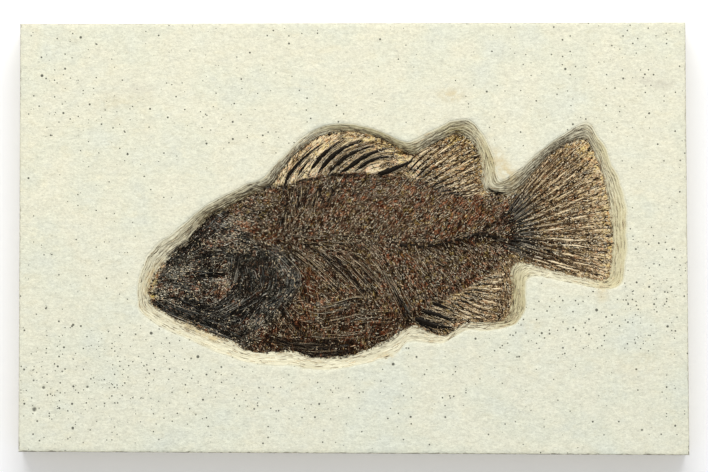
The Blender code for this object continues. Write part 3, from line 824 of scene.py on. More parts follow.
# Colour fields, each oval centre x, y, half length, half width, turn, strength.
rustFields = (
    (34, 7, 11, 5, -5, 0.9), (12, 4, 9, 6, 0, 0.35), (6, -28, 12, 5, 32, 0.95), (-6, -12, 9, 8, -40, 0.5),
    (-8, -26, 9, 7, 0, 0.8), (-43.5, -15.5, 1.6, 3.4, -30, 0.9), (-2, 12, 12, 5, 0, 0.35),
    (40, 11, 6, 1.6, -8, 0.7), (-33, 1, 6, 3, 0, 0.25), (-30, -31, 6, 3, -10, 0.4),
    (60, 23, 7, 5, 40, 0.3), (20, 10, 8, 5, 0, 0.4),
)
# Painted blue-grey sheen over the bone, glossier on the film.
blueSheenFields = (
    (-20.5, -9.5, 2.8, 7, -28, 1.2), (-24.5, -19.5, 2, 4.5, -35, 1), (-30, -6, 7, 3.5, 20, 0.5),
    (-53, -10, 9, 8, 30, 0.6), (-39, -24, 12, 5, -18, 0.5), (56, -3.5, 6, 2.4, -18, 1),
    (14, 17.5, 16, 3, -8, 0.5), (-51, 1, 6, 3, 45, 0.5), (24, -24, 7, 3, -20, 0.6),
    (52, 12, 4, 6, -40, 0.9), (-15, -35, 14, 1.6, -4, 0.6), (-12, 20.5, 14, 1.5, 8, 0.4),
    (54, 2, 6, 9, 0, 0.8), (-31, -11, 6.5, 7.5, 0, 0.6), (-8, 16, 14, 4, 4, 0.4), (-35, 8, 12, 5, 28, 0.7),
    (66, -3.2, 6, 3, -8, 0.7),
)
darkFields = (
    (-31, -11, 6.5, 7.5, 0, 1.8), (-56, -4, 10, 2.4, 42, 0.8), (-52, -24.5, 14, 2.2, -20, 0.9),
    (-49, -12, 6, 1.6, 0, 0.8), (-61, -12.5, 3, 2.6, 0, 0.6), (-30, -33, 12, 1.6, -10, 0.15),
    (-14, -35.6, 14, 1.5, 0, 0.35), (52, 3.5, 8, 3.6, -25, 0.45), (49, -1, 6, 1.2, 0, 0.8),
    (56, 9.6, 5, 1.8, 8, 0.5), (15, 21, 9, 1.6, 18, 1), (-20.5, 15.5, 3, 2.4, 40, 0.9),
    (0, 20.6, 18, 0.9, 0, 0.8), (24, -26, 7, 2, -20, 1), (15.5, -23, 1.4, 6, 18, 0.8),
    (-6, -6, 3, 8, 40, 0.5), (4, -14, 3, 9, 25, 0.5), (-40, -20, 7, 5, 30, 0.4),
    (30, -1.5, 14, 1.5, 5, 1.1), (-46, 2, 6, 4, 40, 0.5), (61, -5.6, 12, 2.6, -14, 0.7),
    (66, -3.2, 5, 2.6, -8, 0.45),
)
paleFields = (
    (-62, -18.4, 2.6, 1.3, -20, 1.1), (-61.2, -13.6, 1.6, 2.4, 20, 0.9), (-59.4, -10.6, 3, 0.8, 45, 0.6),
    (-10, -20.8, 6, 1, 4, 0.6), (-24, 19.5, 2, 3, -40, 0.6), (0, -24, 12, 8, 0, 0.12),
)
# Brown scaly patches within the black of the head.
brownFields = (
    (-41.5, -15.6, 3.4, 4.4, -24, 1), (-37, 4.2, 4.4, 5.6, 0, 0.8), (-45, -2, 4, 2.6, 20, 0.6),
    (-31, -28, 3, 3, 0, 0.6), (-52, -7, 3, 2, 30, 0.4),
)
# Ochre crust left on the edge of the snout and jaw.
crustFields = (
    (-64.2, -14.4, 1.2, 3.6, -20, 1), (-61.8, -9.4, 0.9, 2.6, -40, 0.7), (-64.2, -18.6, 1.3, 1.1, 0, 1),
    (-52.5, -26.6, 6.5, 0.7, -24, 0.9), (-43, -30.6, 3, 0.6, -30, 0.7),
)
finShadeFields = (
    (12, 30.6, 7, 1.5, -24, 0.9), (1, 33.2, 7, 1, -4, 0.7), (17.5, 27.2, 4, 1.2, -20, 0.6),
    (7, 29, 2, 1.4, 40, 0.5), (-19, 25.4, 5, 0.9, 44, 0.6), (-8, 33.4, 6, 0.7, 4, 0.5),
)
finOliveFields = (
    (-2, 31, 13, 3.4, 4, 0.5), (14, 28, 7, 3, -20, 0.6), (-20, 22, 3, 8, -40, 0.3),
    (33, 32, 6, 2, 0, 0.7), (40, 24, 2, 8, 10, 0.6), (34, 26, 7, 6, 0, 0.4), (82, 4, 2.6, 18, 4, 0.6),
    (75, 28, 5, 4, -30, 0.7),
)


def bodyShape(x, y):
    # How far up the low arch of the body a point is, 0 on the fins.
    belly, back, swell = (valueAlong(bodyStations, x, part, 500) for part in (1, 2, 3))
    across = (2 * y - belly - back) / (back - belly)
    arch = 0.84 * (swell + 0.2) * np.clip(1 - across ** 2, 0, None) ** 0.6 - 0.2
    ends = smoothStep(-65.2, -64.4, x) * (1 - smoothStep(52.4, 54.0, x))
    return np.maximum(arch, 0.0) * ends


def filmHeight(x, y):
    # The flat film, the arch of the body, a ridge over the backbone and a low dome over the gill cover.
    column = valueAlong(columnRoute, x)
    swell = 0.30 * np.exp(-((y - column) / 1.3) ** 2) * smoothStep(-34, -24, x) * (1 - smoothStep(46, 52, x))
    reach = np.hypot((x - gillCover[0]) / 9.5, (y - gillCover[1]) / 9.5)
    dome = 0.30 * np.clip(1 - reach ** 2, 0, None) ** 0.4 * (reach < 1)
    return heights["fishSkin"] + skinLook["lift"] + bodyShape(x, y) + swell + dome


def finMasks(x, y):
    # Soft weights of the fins and the head: fins lie past the back line or the belly line of the body.
    belly, back = (valueAlong(bodyStations, x, part, 500) for part in (1, 2))
    above, below = smoothStep(-0.5, 0.7, y - back), smoothStep(-0.5, 0.7, belly - y)
    root = fanCentres["tail"]
    tail = smoothStep(0.0, 3.0, np.hypot(x - root[0], (y - root[1]) * 0.8) - 7.5) * (x > 46)
    split = 21.0 - 0.55 * (y - 21.5)
    behind = smoothStep(-0.6, 0.6, x - split - 0.9 * (y - 21.5))
    spiny = above * smoothStep(-28.5, -26.0, x) * (1 - behind)
    soft = above * (1 - spiny) * (x > 8) * (1 - tail) * (x < 43)
    anal = below * smoothStep(18.0, 20.0, x) * (1 - tail)
    headHeights = (-37.0, -29.0, -20.0, -13.0, -5.0, 0.0, 8.0, 18.0)
    headEdge = np.interp(y, headHeights, (-36.0, -27.0, -20.0, -16.5, -22.0, -32.0, -41.0, -50.0))
    head = 1 - smoothStep(-2.5, 2.5, x - headEdge)
    fins = np.clip(tail + soft + anal + spiny, 0, 1)
    return {"tail": tail, "spiny": spiny, "soft": soft, "anal": anal, "head": head, "fins": fins}


def grainPlaces(x, y, masks):
    # Distance along and across the local run of scales, rays or bone fibres: slanted lines on the body and
    # head, rings round the gill cover, and lines from or round one centre on each fin.
    def turned(degrees):
        turn = math.radians(degrees)
        return x * math.cos(turn) + y * math.sin(turn), y * math.cos(turn) - x * math.sin(turn)

    column = valueAlong(columnRoute, x)
    upper, lower, head = turned(50.0), turned(-50.0), turned(-14.0)
    along = np.where(y > column, upper[0], lower[0])
    aside = np.where(y > column, upper[1], lower[1]) + (y - column) ** 2 * 0.012
    swirl, reach = around(x, y, gillCover)
    nearCover = reach < 11.0
    pick = masks["head"] > 0.5
    along = np.where(pick, np.where(nearCover, swirl * 16.0, head[0] * 2.2), along)
    aside = np.where(pick, np.where(nearCover, reach, head[1]), aside)
    for name, scale in (("tail", 22.0), ("soft", 36.0), ("anal", 26.0)):
        turn, reach = around(x, y, fanCentres[name])
        pick = masks[name] > 0.5
        along, aside = np.where(pick, reach, along), np.where(pick, turn * scale, aside)
    turn, reach = around(x, y, fanCentres["spiny"])
    pick = masks["spiny"] > 0.5
    return np.where(pick, turn * 22.0, along), np.where(pick, reach, aside)


def headPatches(x, y):
    # Bone of the head lies in broken plates, some pale and grainy (1), some smooth and black (-1).
    return np.clip(1.8 * softNoise(x, y * 1.3, 3.4, 317, 2), -1, 1)


def calmPlaces(x, y):
    # Where bone is smooth and dark, so that few bright slivers lie on it.
    calm = np.maximum(nearRoutes(x, y, "dark"), 0.75 * cover(x, y, darkFields))
    return np.maximum(calm, blobs(x, y, ((5.0, -28.5, 11.0, 4.0, 24.0, 0.55),)))


def rustPatches(x, y, masks):
    # Blotches of iron stain a few millimetres wide in the body, more towards the belly, none on the fins.
    low = 0.22 * smoothStep(3, 14, -y)
    patches = np.clip(1.5 * softNoise(x, y, 3.1, 663, 2) + low - 0.10, 0, 0.55)
    return patches * (1 - masks["fins"]) * (1 - 0.7 * masks["head"])


def skinTone(x, y, masks):
    # Screen brightness wanted at each place, 0 to 1, and how strongly it varies: a slow course from snout
    # to tail, one value on each fin, then fields, dark bones, streaks and blotches added one by one.
    tone = np.interp(x, (-66, -50, -30, -15, 10, 35, 50), (0.31, 0.25, 0.24, 0.28, 0.32, 0.33, 0.36))
    tone = tone + 0.05 * smoothStep(-2, 6, y) * smoothStep(-50, -42, x) * (1 - smoothStep(-30, -20, x))
    tone = tone + 0.07 * smoothStep(0, 12, y - 6) * (x > -45) - 0.03 * smoothStep(0, 14, -14 - y)
    tone = np.where(masks["head"] > 0.5, tone + 0.01, tone)
    reach = around(x, y, fanCentres["tail"])[1]
    tailTone = np.interp(reach, (6, 12, 20, 30, 36, 39), (0.36, 0.33, 0.33, 0.42, 0.56, 0.68))
    tailTone = tailTone + 0.04 - 0.08 * smoothStep(15, 24, y) * smoothStep(55, 60, x)
    for name, value in (("tail", tailTone), ("soft", 0.49), ("anal", 0.48), ("spiny", 0.64)):
        tone = tone * (1 - masks[name]) + value * masks[name]
    tone = tone - 0.14 * np.clip(blobs(x, y, darkFields), 0, 1.3) + 0.22 * blobs(x, y, paleFields)
    tone = tone - 0.13 * nearRoutes(x, y, "dark") + 0.03 * nearRoutes(x, y, "steel")
    turn, reach = around(x, y, fanCentres["spiny"])
    tone = tone + masks["spiny"] * (0.62 * softNoise(turn * 5.0, reach, 1.3, 333, 2) + 0.03)
    tone = tone + 0.035 * softNoise(x, y, 7.0, 301, 3) + 0.05 * softNoise(x, y, 2.2, 307, 2)
    spread = 0.96 + 0.06 * masks["fins"] + 0.14 * masks["head"]
    tone = tone - 0.10 + 0.01 * masks["head"] + 0.26 * cover(x, y, brownFields) + 0.055 * masks["fins"]
    tone = tone + 0.10 * masks["spiny"] - 0.34 * masks["spiny"] * cover(x, y, finShadeFields)
    tone = tone + masks["head"] * (0.01 + 0.11 * headPatches(x, y))
    tone = tone + 0.55 * cover(x, y, crustFields)
    return np.clip(tone, 0.03, 0.82), spread


def skinRelief(x, y, masks, along, aside):
    # Height of the film, less the grooves of the jaw, plus waves for the rays and a low cap for each scale.
    z = filmHeight(x, y)
    z -= 0.25 * blobs(x, y, ((-60.0, -18.6, 5.0, 0.5, -12.0, 1.0), (-47.0, -11.4, 5.0, 0.7, -2.0, 1.0)))
    rays = np.clip(masks["tail"] + masks["soft"] + masks["anal"], 0, 1)
    z += skinLook["finRidge"] * rays * np.cos(aside * 2 * math.pi / skinLook["rayWidth"])
    gap, owner = cellNoise(along / 1.25, aside / 0.8, skinLook["scaleSize"], skinLook["seed"])
    scales = (1 - np.clip(gap, 0, 1) ** 2) + 0.5 * (owner - 0.5)
    z += skinLook["scaleRise"] * scales * (1 - 0.65 * rays - 0.5 * masks["spiny"])
    z += 0.04 * softNoise(along * 0.35, aside, 0.55, 211, 2) + 0.03 * softNoise(x, y, 0.6, 215, 2)
    return z, gap, owner


def skinMaterial():
    # Brightness is the tone wanted plus fibres, specks, cells and painted glints; it picks a brown, gold or
    # grey, and patches of red, painted blue sheen and olive tint that.
    material, shader = newMaterial("fossilSkin")
    place, grain = millimetres()
    tone, fin, blueSheen = attribute("tone"), attribute("fin"), attribute("blueSheen")
    long = noiseNode(stretched(grain, (0.5, 2.7, 1.0)), 1.0, 2.0, 0.6)
    short = noiseNode(stretched(grain, (1.2, 3.6, 1.0)), 1.0, 2.0, 0.6)
    speck = noiseNode(place, 2.9, 2.0, 0.8)
    distance, random = cellNode(stretched(grain, (0.9, 1.7, 1.0)), 1.0, "2D")
    total = (long - 0.5) * 0.9 + (short - 0.5) * 1.2 + (speck - 0.5) * 1.4
    total = total + (random[0] - 0.5) * 0.16 + (attribute("owner") - 0.5) * 0.12
    total = total + (distance - 0.45) * -0.10 + (attribute("gap") - 0.45) * -0.10
    value = tone + total * (attribute("spread") * 1.2)
    # Painted highlight: bright glints where the specks peak on some cells.
    paintedGlint = remap(speck + short * 0.5, 0.90, 1.02) * maths("GREATER_THAN", random[1], 0.55)
    value = value + paintedGlint * 0.20
    brown = ramp(value, (
        (0.03, (20, 11, 2)), (0.14, (48, 33, 17)), (0.26, (81, 63, 45)), (0.36, (108, 90, 71)),
        (0.50, (148, 131, 109)), (0.66, (188, 172, 148)), (0.85, (226, 213, 188)),
    ))
    gold = ramp(value, (
        (0.03, (24, 13, 2)), (0.14, (54, 38, 18)), (0.26, (86, 66, 42)), (0.36, (113, 92, 64)),
        (0.50, (155, 130, 95)), (0.66, (204, 179, 139)), (0.85, (238, 220, 184)),
    ))
    grey = ramp(value, (
        (0.03, (12, 11, 6)), (0.16, (41, 40, 32)), (0.32, (82, 80, 70)), (0.50, (134, 129, 113)),
        (0.80, (214, 207, 186)),
    ))
    hue = noiseNode(place, 0.42, 3.0, 0.75)
    hues = ramp(hue, (
        (0.34, (255, 190, 160)), (0.43, (255, 230, 212)), (0.50, (228, 240, 255)), (0.57, (255, 246, 216)),
        (0.66, (250, 248, 176)),
    ))
    brown = mixColour(fin, brown, gold)
    brown = mixColour(remap(fin, 0.0, 1.0, 1.0, 0.5), brown, tinted(brown, hues))
    brown = mixColour(attribute("olive"), brown, tinted(brown, (248, 242, 196)))
    colour = mixColour(attribute("head") * remap(hue, 0.40, 0.56, 0.25, 0.85), brown, grey)
    red = maths("MULTIPLY", attribute("rust"), remap(random[2], 0.25, 0.85), clamp=True)
    colour = mixColour(red * 0.85, colour, tinted(colour, (255, 186, 148)))
    # Painted sheen: a cool blue-grey tint over the sheen fields, which are also made glossier below.
    coldSheen = maths("MULTIPLY", blueSheen, remap(random[1], 0.2, 0.8), clamp=True)
    colour = mixColour(coldSheen * 0.75, colour, tinted(colour, (205, 232, 255)))
    relief = short + speck * 1.2 - distance * 0.5
    roughness = remap(random[0] + blueSheen, 0.2, 1.6, 0.72, 0.38)
    finishShader(shader, colour, relief, 0.8, 0.12 * mm, roughness, 0.04)
    return material


def buildSkin():
    # A jittered net of triangles out to just past the margin, sunk under the rock there, then closed below.
    look = skinLook
    fish, outward = marginColumns(look["marginColumns"])[2:]
    edge = fish + unit(outward) * look["overlap"]
    step = look["pointStep"]
    rng = np.random.default_rng(look["seed"])
    low, high = edge.min(0), edge.max(0)
    x, y = np.meshgrid(np.arange(low[0], high[0], step), np.arange(low[1], high[1], step * 0.866))
    x[1::2] += step / 2
    x, y = (axis.ravel() + rng.uniform(-0.14, 0.14, axis.size) * step for axis in (x, y))
    inside = loopDistance(x, y, edge[::3])
    keep = inside > 0.14
    points = np.column_stack([x[keep], y[keep]])
    triangles = fillBetween((edge,), (1,), points)
    flat = np.concatenate([edge, points])
    depth = np.concatenate([np.zeros(len(edge)), inside[keep]]) - look["overlap"]
    x, y = flat.T
    masks = finMasks(x, y)
    along, aside = grainPlaces(x, y, masks)
    z, gap, owner = skinRelief(x, y, masks, along, aside)
    slow, quick = look["ragged"]
    wander = slow * softNoise(x, y, 2.4, 401, 2) + quick * softNoise(x, y, 0.7, 405, 2)
    z = np.minimum(z, heights["matrixAtFish"] + 0.04 + 0.55 * (depth + wander))
    base = np.column_stack([edge, np.full(len(edge), heights["fishUnderside"])])
    allPoints = np.concatenate([np.column_stack([flat, z]), base])
    number = np.arange(len(edge))
    after = np.roll(number, -1)
    wall = np.column_stack([number, after, after + len(flat), number + len(flat)])
    tone, spread = skinTone(x, y, masks)
    crust = blobs(x, y, crustFields)
    bare = 1 - np.clip(crust + 0.8 * blobs(x, y, brownFields), 0, 1)
    values = {
        "tone": tone,
        "spread": spread,
        "gap": gap,
        "owner": owner,
        "rust": np.clip(blobs(x, y, rustFields) + 1.6 * rustPatches(x, y, masks), 0, 1),
        "blueSheen": cover(x, y, blueSheenFields),
        "olive": np.clip(blobs(x, y, finOliveFields) + crust, 0, 1),
        "head": masks["head"] * (1 - masks["spiny"]) * bare,
        "fin": masks["fins"],
    }
    # the points below repeat what the edge above them says
    attributes = {key: np.concatenate([value, value[:len(edge)]]) for key, value in values.items()}
    uv = np.column_stack([along, aside])
    uv = np.concatenate([uv, uv[:len(edge)]])
    faces = [triangles, wall, (number + len(flat))[None, :]]
    skin = makeMesh("fossilSkin", allPoints, faces, attributes, uv, skinMaterial())
    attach(skin, "root")
    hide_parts("fossil_fish")
    print("skin:", len(allPoints), "points", len(triangles), "triangles")


# The bones: spines, rays, column, ribs, and the splinters that lie over the film. Loose bones stand here by
# finish, each its width and then its route.
boneRoutes = {
    "black": (
        (0.85, (-22.4, 16.3), (-21.1, 19.8), (-18.8, 23), (-16, 25.9), (-13.1, 28.4), (-9.9, 30.5)),
        (0.5, (-18.2, 19.8), (-16.6, 22.3), (-14.7, 24.7), (-13.1, 26.2)),
        (0.85, (-14.4, 21.1), (-12.8, 23.5), (-10.5, 26.3), (-7.6, 28.9), (-4.8, 30.8), (-1.9, 32.4)),
        (1.15, (-11.5, 21.1), (-10.2, 22.8), (-8, 25.4), (-5.4, 27.6), (-2.5, 29.5), (0.7, 30.7),
         (3.6, 31.6)),
        (0.9, (-8.3, 20.7), (-7, 22.3), (-5.1, 24.1), (-2.5, 26.2), (0.4, 27.8), (3.9, 29.1), (7.7, 29.9)),
        (1.1, (-4.8, 21.1), (-2.5, 22.3), (0, 24.1), (2.6, 25.9), (5.5, 27.3), (9, 28.4), (12.5, 29.4)),
        (0.75, (-0.3, 21.5), (1.6, 22.5), (3.9, 24.3), (6.4, 25.4), (10, 26.2), (15.1, 26.5)),
        (1.25, (7.1, 20.4), (10.3, 21.5), (13.5, 22.7), (16.7, 24.1), (19.9, 25.2)),
        (0.6, (20.5, -26.6), (22.8, -27.9), (25.3, -29.3), (28.5, -30.3)),
        (1.7, (18.9, -25.2), (22.4, -26.5), (25.3, -27.6), (29.2, -28.2), (32.7, -28.6)),
        (1.2, (21.2, -23.1), (24.4, -23.7), (27.6, -24.7), (30.8, -25.7), (33.6, -26.1)),
        (0.9, (24.7, -20.2), (27.9, -21.5), (30.4, -22.5), (32, -23.6)),
    ),
    "dark": (
        (1, (-64.9, -19.6), (-62, -21.5), (-58.2, -23.7), (-54.4, -25.3), (-49.2, -27.9)),
        (0.9, (-62.4, -13.7), (-60.4, -13.7), (-58.5, -13.5)),
        (0.7, (-50.2, -11.9), (-47.3, -12), (-44.4, -11.7), (-40.9, -11.7)),
        (1.1, (-41.2, -30.5), (-38.4, -31.1), (-35.5, -30.8)),
        (1.1, (-28.1, -31.3), (-25.6, -32.2), (-22.4, -33), (-19.8, -34.6)),
        (1.5, (-17.9, -35.3), (-14.7, -36.5), (-10.8, -36.9), (-6, -36.5), (-1.2, -36.2)),
        (1.2, (-18.2, -34.3), (-14.4, -34), (-10.2, -33.5), (-6.4, -32.9)),
        (1.2, (-23.3, -22.8), (-21.7, -24.7), (-20.1, -26.6), (-17.9, -28.9), (-16, -30.5)),
        (1, (14.8, -19.9), (16.4, -21.8), (18, -24.4), (18.6, -26.3)),
        (0.9, (9.3, -10), (11.2, -14.1), (13.5, -18.3), (15.7, -22.8), (17.3, -25.7)),
        (0.9, (-7, -5.2), (-4.4, -8.1), (-1.9, -10.9), (0.7, -14.5), (3.2, -17)),
        (0.6, (3.6, -13.2), (5.5, -15.4), (7.4, -17.3)),
        (0.7, (-16.3, -1.3), (-12.1, -3.6), (-8.3, -6.8), (-5.1, -10.6)),
        (1, (-22.4, 17.5), (-22, 15.9), (-22.4, 14.3)),
        (0.9, (-21.4, 10.5), (-22, 7.9), (-23, 5.4), (-23.6, 3.8)),
        (0.9, (-17.2, 15), (-17.9, 11.5), (-18.5, 7.9)),
        (0.9, (-14, 16.9), (-15.6, 13.7), (-16.6, 10.5)), (1, (-10.5, 16.9), (-12.4, 13.1), (-13.4, 9.9)),
        (0.7, (-5.4, 17.5), (-7.3, 13.7), (-8.9, 10.2)), (0.6, (-2.2, 19.5), (-4.1, 15.9), (-5.7, 12.4)),
        (0.6, (4.8, 19.5), (2.3, 17.5), (-0.6, 14)), (0.9, (-29.4, 16.6), (-25.9, 16.8), (-22.7, 17.4)),
        (0.9, (-18.2, 18.3), (-14, 19.3), (-10.2, 20.3)), (0.9, (-8.3, 20.6), (-3.8, 20.6), (2, 20.4)),
        (0.9, (-39, 8.9), (-41.6, 7), (-43.2, 5.4)),
        (1.3, (-55, -3.6), (-52.4, -1.7), (-49.6, 0.3), (-47.6, 2.5)),
        (1, (-47.6, -0.4), (-45.4, 1.5), (-43.5, 2.8)),
        (1.1, (36.5, 0.1), (39.1, 1.4), (42, 1.9), (44.5, 0.9), (47.7, -0.4), (52.5, -1.2)),
        (0.9, (41.6, 3.1), (44.2, 4.4), (47.1, 6.3), (49.3, 8.6), (51.6, 11.5)),
        (1.2, (46.4, 4.4), (48.4, 5.1), (50.6, 5.7)),
        (0.6, (33, 3.5), (34, 5.7)), (0.7, (43.1, 16.3), (43.9, 15.3), (45.5, 14.7), (47.1, 14.5)),
        (1, (-29.4, -4.2), (-27.5, -7.4), (-26.5, -11.3), (-27.2, -14.8)),
        (0.9, (-37.1, -7.4), (-37.7, -11.6), (-36.8, -15.7), (-34.5, -18.6)),
        (0.8, (-29.4, -19.6), (-32.6, -23.1), (-35.8, -26)),
        (1.2, (-54.4, -20.5), (-47.6, -22.5), (-42.2, -20.9), (-37.7, -17.3)),
        (1.1, (-47.3, -25.3), (-42.2, -25), (-36.4, -22.5), (-31.3, -19.6)),
        (1.3, (-34.5, -7.4), (-33.9, -12.5), (-34.2, -17.7)),
        (1.2, (-29.4, -5.5), (-28.8, -10.6), (-29.4, -16.4)),
        (1, (-59.5, -5.5), (-55.6, -2.3), (-51.8, 0.9), (-48.3, 4.4), (-44.1, 8.6)),
        (1, (-44.1, 8.9), (-40.6, 10.8), (-36.4, 12.6)),
        (0.9, (-53.7, -7.4), (-49.2, -5.5), (-45.4, -4.8)),
        (1, (-23, -33.3), (-16.6, -34.6), (-7.6, -34.9), (-0.6, -33.7)),
    ),
    "pale": (
        (0.26, (-20.4, 18.5), (-19.2, 21.7), (-17.2, 24.3), (-15, 26.8)),
        (0.28, (23.4, -27.7), (25.3, -28.4), (27.9, -28.9)),
        (0.22, (-20.1, -1), (-17.2, -3.6), (-15, -5.5), (-13.4, -6.8)),
        (0.18, (-23.6, -2.9), (-21.7, -5.5)),
        (0.18, (-17.6, -0.4), (-15.6, -1.7), (-14, -2.9)),
        (0.22, (-11.2, -0.7), (-9.9, -2.3), (-7.6, -3.9), (-5.4, -5.8), (-3.2, -7.4), (-0.9, -9.3)),
        (0.18, (-3.2, -7.4), (-1.2, -10), (0.4, -12.2)), (0.2, (-10.5, -5.5), (-8.3, -7.4), (-6.4, -10)),
        (0.22, (-0.9, -7.1), (0.7, -8.4), (2, -9.7)), (0.22, (4.8, -3.9), (6.8, -5.2), (8, -6.8)),
        (0.16, (-15.6, -7.4), (-13.4, -9.3), (-11.5, -11.6), (-10.2, -13.8)),
        (0.16, (-13.4, -11.6), (-10.8, -14.8), (-8.3, -18)),
        (0.16, (-6, -11.6), (-3.8, -14.8), (-0.6, -18.6)),
        (0.2, (-0.6, -10.6), (2, -14.1), (4.8, -17.3), (7.4, -19.6)),
        (0.18, (2.6, -12.2), (4.8, -15.4), (7.1, -18.3)), (0.22, (12.5, -9.3), (14.1, -10.9)),
        (0.2, (17.6, -13.2), (18.9, -14.8), (20.5, -16.1)),
        (0.2, (22.4, -7.4), (23.7, -10), (25.6, -12.5)), (0.18, (27.6, -10), (29.2, -11.6), (30.1, -12.9)),
        (0.2, (32, -3.6), (33.3, -5.5), (34.9, -7.7), (36.2, -8.7)), (0.18, (32.7, -8.7), (34.3, -10.6)),
        (0.2, (35.9, -3.6), (37.2, -5.2), (39.1, -7.1), (41.3, -8.7)),
        (0.24, (39.1, -1.3), (41.6, -2.6), (44.2, -3.6)),
        (0.2, (40, -1.7), (43.6, -2.3), (46.8, -3.6), (50, -4.2)), (0.18, (24.4, -14.1), (26.9, -17)),
        (0.18, (29.5, -14.1), (32.4, -17)),
        (0.18, (21.2, -14.1), (24.4, -18)), (0.16, (-13.7, 3.5), (-11.2, 6.3)),
        (0.16, (-12.4, 3.3), (-10.2, 5.7)),
        (0.16, (-10.2, 3.1), (-8, 5.7)), (0.16, (18.6, 3.5), (20.5, 6)), (0.18, (36.2, 2.8), (37.5, 4.7)),
        (0.2, (40.4, 2.8), (42.3, 4.7), (43.9, 6.3)), (0.18, (42.3, 2.8), (44.2, 5.4)),
        (0.18, (4.5, 14.3), (6.4, 15.9)),
        (0.18, (-1.2, 13.7), (1, 16.6)),
        (0.24, (-24.6, -22.8), (-25.6, -25), (-26.8, -27.3), (-28.1, -29.2)),
        (0.24, (-22.4, -23.4), (-20.4, -25.7), (-18.5, -27.6)),
        (0.24, (50, 10.2), (51.9, 12.4), (53.5, 14.7)),
        (0.2, (51.2, 9.2), (53.5, 12.1), (55.7, 15.3)), (0.2, (50.6, 6.3), (53.2, 8.6), (55.4, 10.2)),
        (0.26, (51.6, -2.9), (54.8, -3.9), (58, -5.2), (61.2, -6.5)),
        (0.2, (53.2, -2), (57, -2.9), (61.2, -4.5), (65, -5.8)),
        (0.22, (56.4, -7.4), (61.2, -8.7), (66, -9.7)), (0.2, (64.7, -3.9), (67.2, -4.5), (69.2, -5.5)),
        (0.2, (-35.2, 0.3), (-34.2, -1.3), (-33.6, -3.3)), (0.2, (-51.2, -0.4), (-53.4, -2), (-55, -3.6)),
        (0.2, (-31, -21.8), (-32.6, -24.7), (-34.2, -27.3)),
        (0.2, (-29.1, -22.5), (-30.7, -25.3), (-32, -28.5)),
        (0.2, (-33.2, -20.9), (-35.5, -23.4), (-37.1, -25.7)),
        (0.18, (-27.8, -19.3), (-29.4, -22.1), (-30.4, -24.7)),
        (0.22, (-51.8, -10.9), (-49.9, -12.9)), (0.3, (-48, -10.3), (-46.4, -10.9)),
        (0.3, (-43.8, -10.8), (-41.2, -10.6)),
        (0.3, (-62, -20.2), (-60.1, -22.5), (-57.6, -23.7)), (0.26, (-61.1, -16.1), (-59.5, -18)),
        (0.24, (-21.7, -15.7), (-23.6, -17.3), (-26.5, -19.3)),
    ),
    "steel": (
        (1.6, (-26.2, -4.2), (-22.7, -6.1), (-19.8, -9), (-17.9, -12.2), (-18.2, -14.8)),
        (1.5, (-18.2, -14.5), (-20.8, -16.7), (-23.3, -19.3), (-24.6, -21.8)),
        (1, (-14, -20.5), (-10.8, -21.3), (-7.6, -21.5), (-4.4, -20.9), (-1.2, -20.9)),
        (1, (-31.6, -28.5), (-30.7, -25.3), (-29.4, -22.1), (-28.1, -19.6)),
        (1.2, (-47.3, 4.1), (-44.8, 3.5), (-43.2, 1.9)), (1.4, (-25.9, -2), (-23.6, -4.2), (-22, -6.1)),
        (0.8, (16, -20.5), (17.3, -22.5), (18.3, -24.4)),
    ),
    "rust": (
        (1.1, (-41.9, -13.5), (-42.8, -15.4), (-44.1, -17.3), (-45.4, -18.6)),
        (0.8, (-40.3, -15.1), (-41.6, -17), (-43.2, -18.6)),
        (1, (27.6, 10.8), (29.5, 9.5), (31.4, 8.6)), (1, (41.6, 10.5), (44.2, 10), (46.8, 10.5)),
        (1, (32.7, 11.1), (35.2, 10.3), (38.1, 10.2)),
        (0.8, (41.6, 6.7), (43.6, 7.9)),
    ),
}

# Finishes: brightness, warmth (0 steel grey, 1 brown or cream), rise above the film.
boneFinish = {
    "black": (0.05, 0.5, 0.30), "dark": (0.06, 0.40, 0.24), "pale": (0.74, 0.62, 0.13),
    "steel": (0.34, 0.0, 0.20), "rust": (0.33, 1.5, 0.14),
}

fans = {
    "tail": {
        "count": 16, "bow": 0.9, "width": (0.85, 0.42), "lineWidth": (0.28, 0.66), "lineStart": 0.13,
        "fork": 0.56, "spread": 0.95,
        "upperDim": 0.35,
        "roots": (
            (48.4, 7.6), (49.2, 7.0), (49.8, 5.6), (50.2, 4.0), (50.4, 2.4), (50.2, 0.6), (49.0, -1.0),
            (45.0, -2.0),
        ),
        "tips": (
            (63.5, 26.0), (70.5, 29.6), (76.0, 26.0), (79.6, 17.0), (81.2, 8.0), (81.8, -1.5), (81.2, -9.0),
            (79.6, -12.0),
        ),
    },
    "softDorsal": {
        "count": 11, "bow": 1.1, "width": (0.75, 0.42), "lineWidth": (0.44, 0.58), "lineStart": 0.10,
        "fork": 0.72, "spread": 0.55,
        "upperDim": 0.0,
        "roots": (
            (15.8, 22.6), (17.6, 21.0), (19.4, 19.0), (21.6, 17.0), (25.0, 15.6), (29.0, 14.8),
            (32.8, 14.2),
        ),
        "tips": (
            (24.6, 29.6), (29.8, 31.4), (34.6, 31.0), (38.2, 27.6), (40.2, 22.6), (41.0, 18.2),
            (41.2, 15.6),
        ),
    },
    "anal": {
        "count": 9, "bow": -0.5, "width": (0.6, 0.36), "lineWidth": (0.36, 0.5), "lineStart": 0.14,
        "fork": 0.62, "spread": 0.6,
        "upperDim": 0.0,
        "roots": ((29.4, -22.4), (31.2, -20.4), (33.8, -18.0), (38.0, -15.5), (43.5, -11.5)),
        "tips": ((36.5, -25.6), (44.0, -26.0), (49.0, -22.5), (49.8, -16.5), (49.6, -10.6)),
    },
}

columnLook = {
    "vertebrae": 27, "length": 2.1, "width": 1.15, "from": -31.0, "to": 46.0,
    "upperAngle": (62, 40), "upperLength": (9, 8), "lowerAngle": (-56, -33), "lowerLength": (24, 8),
    "boneWidth": 0.26, "seed": 31,
}

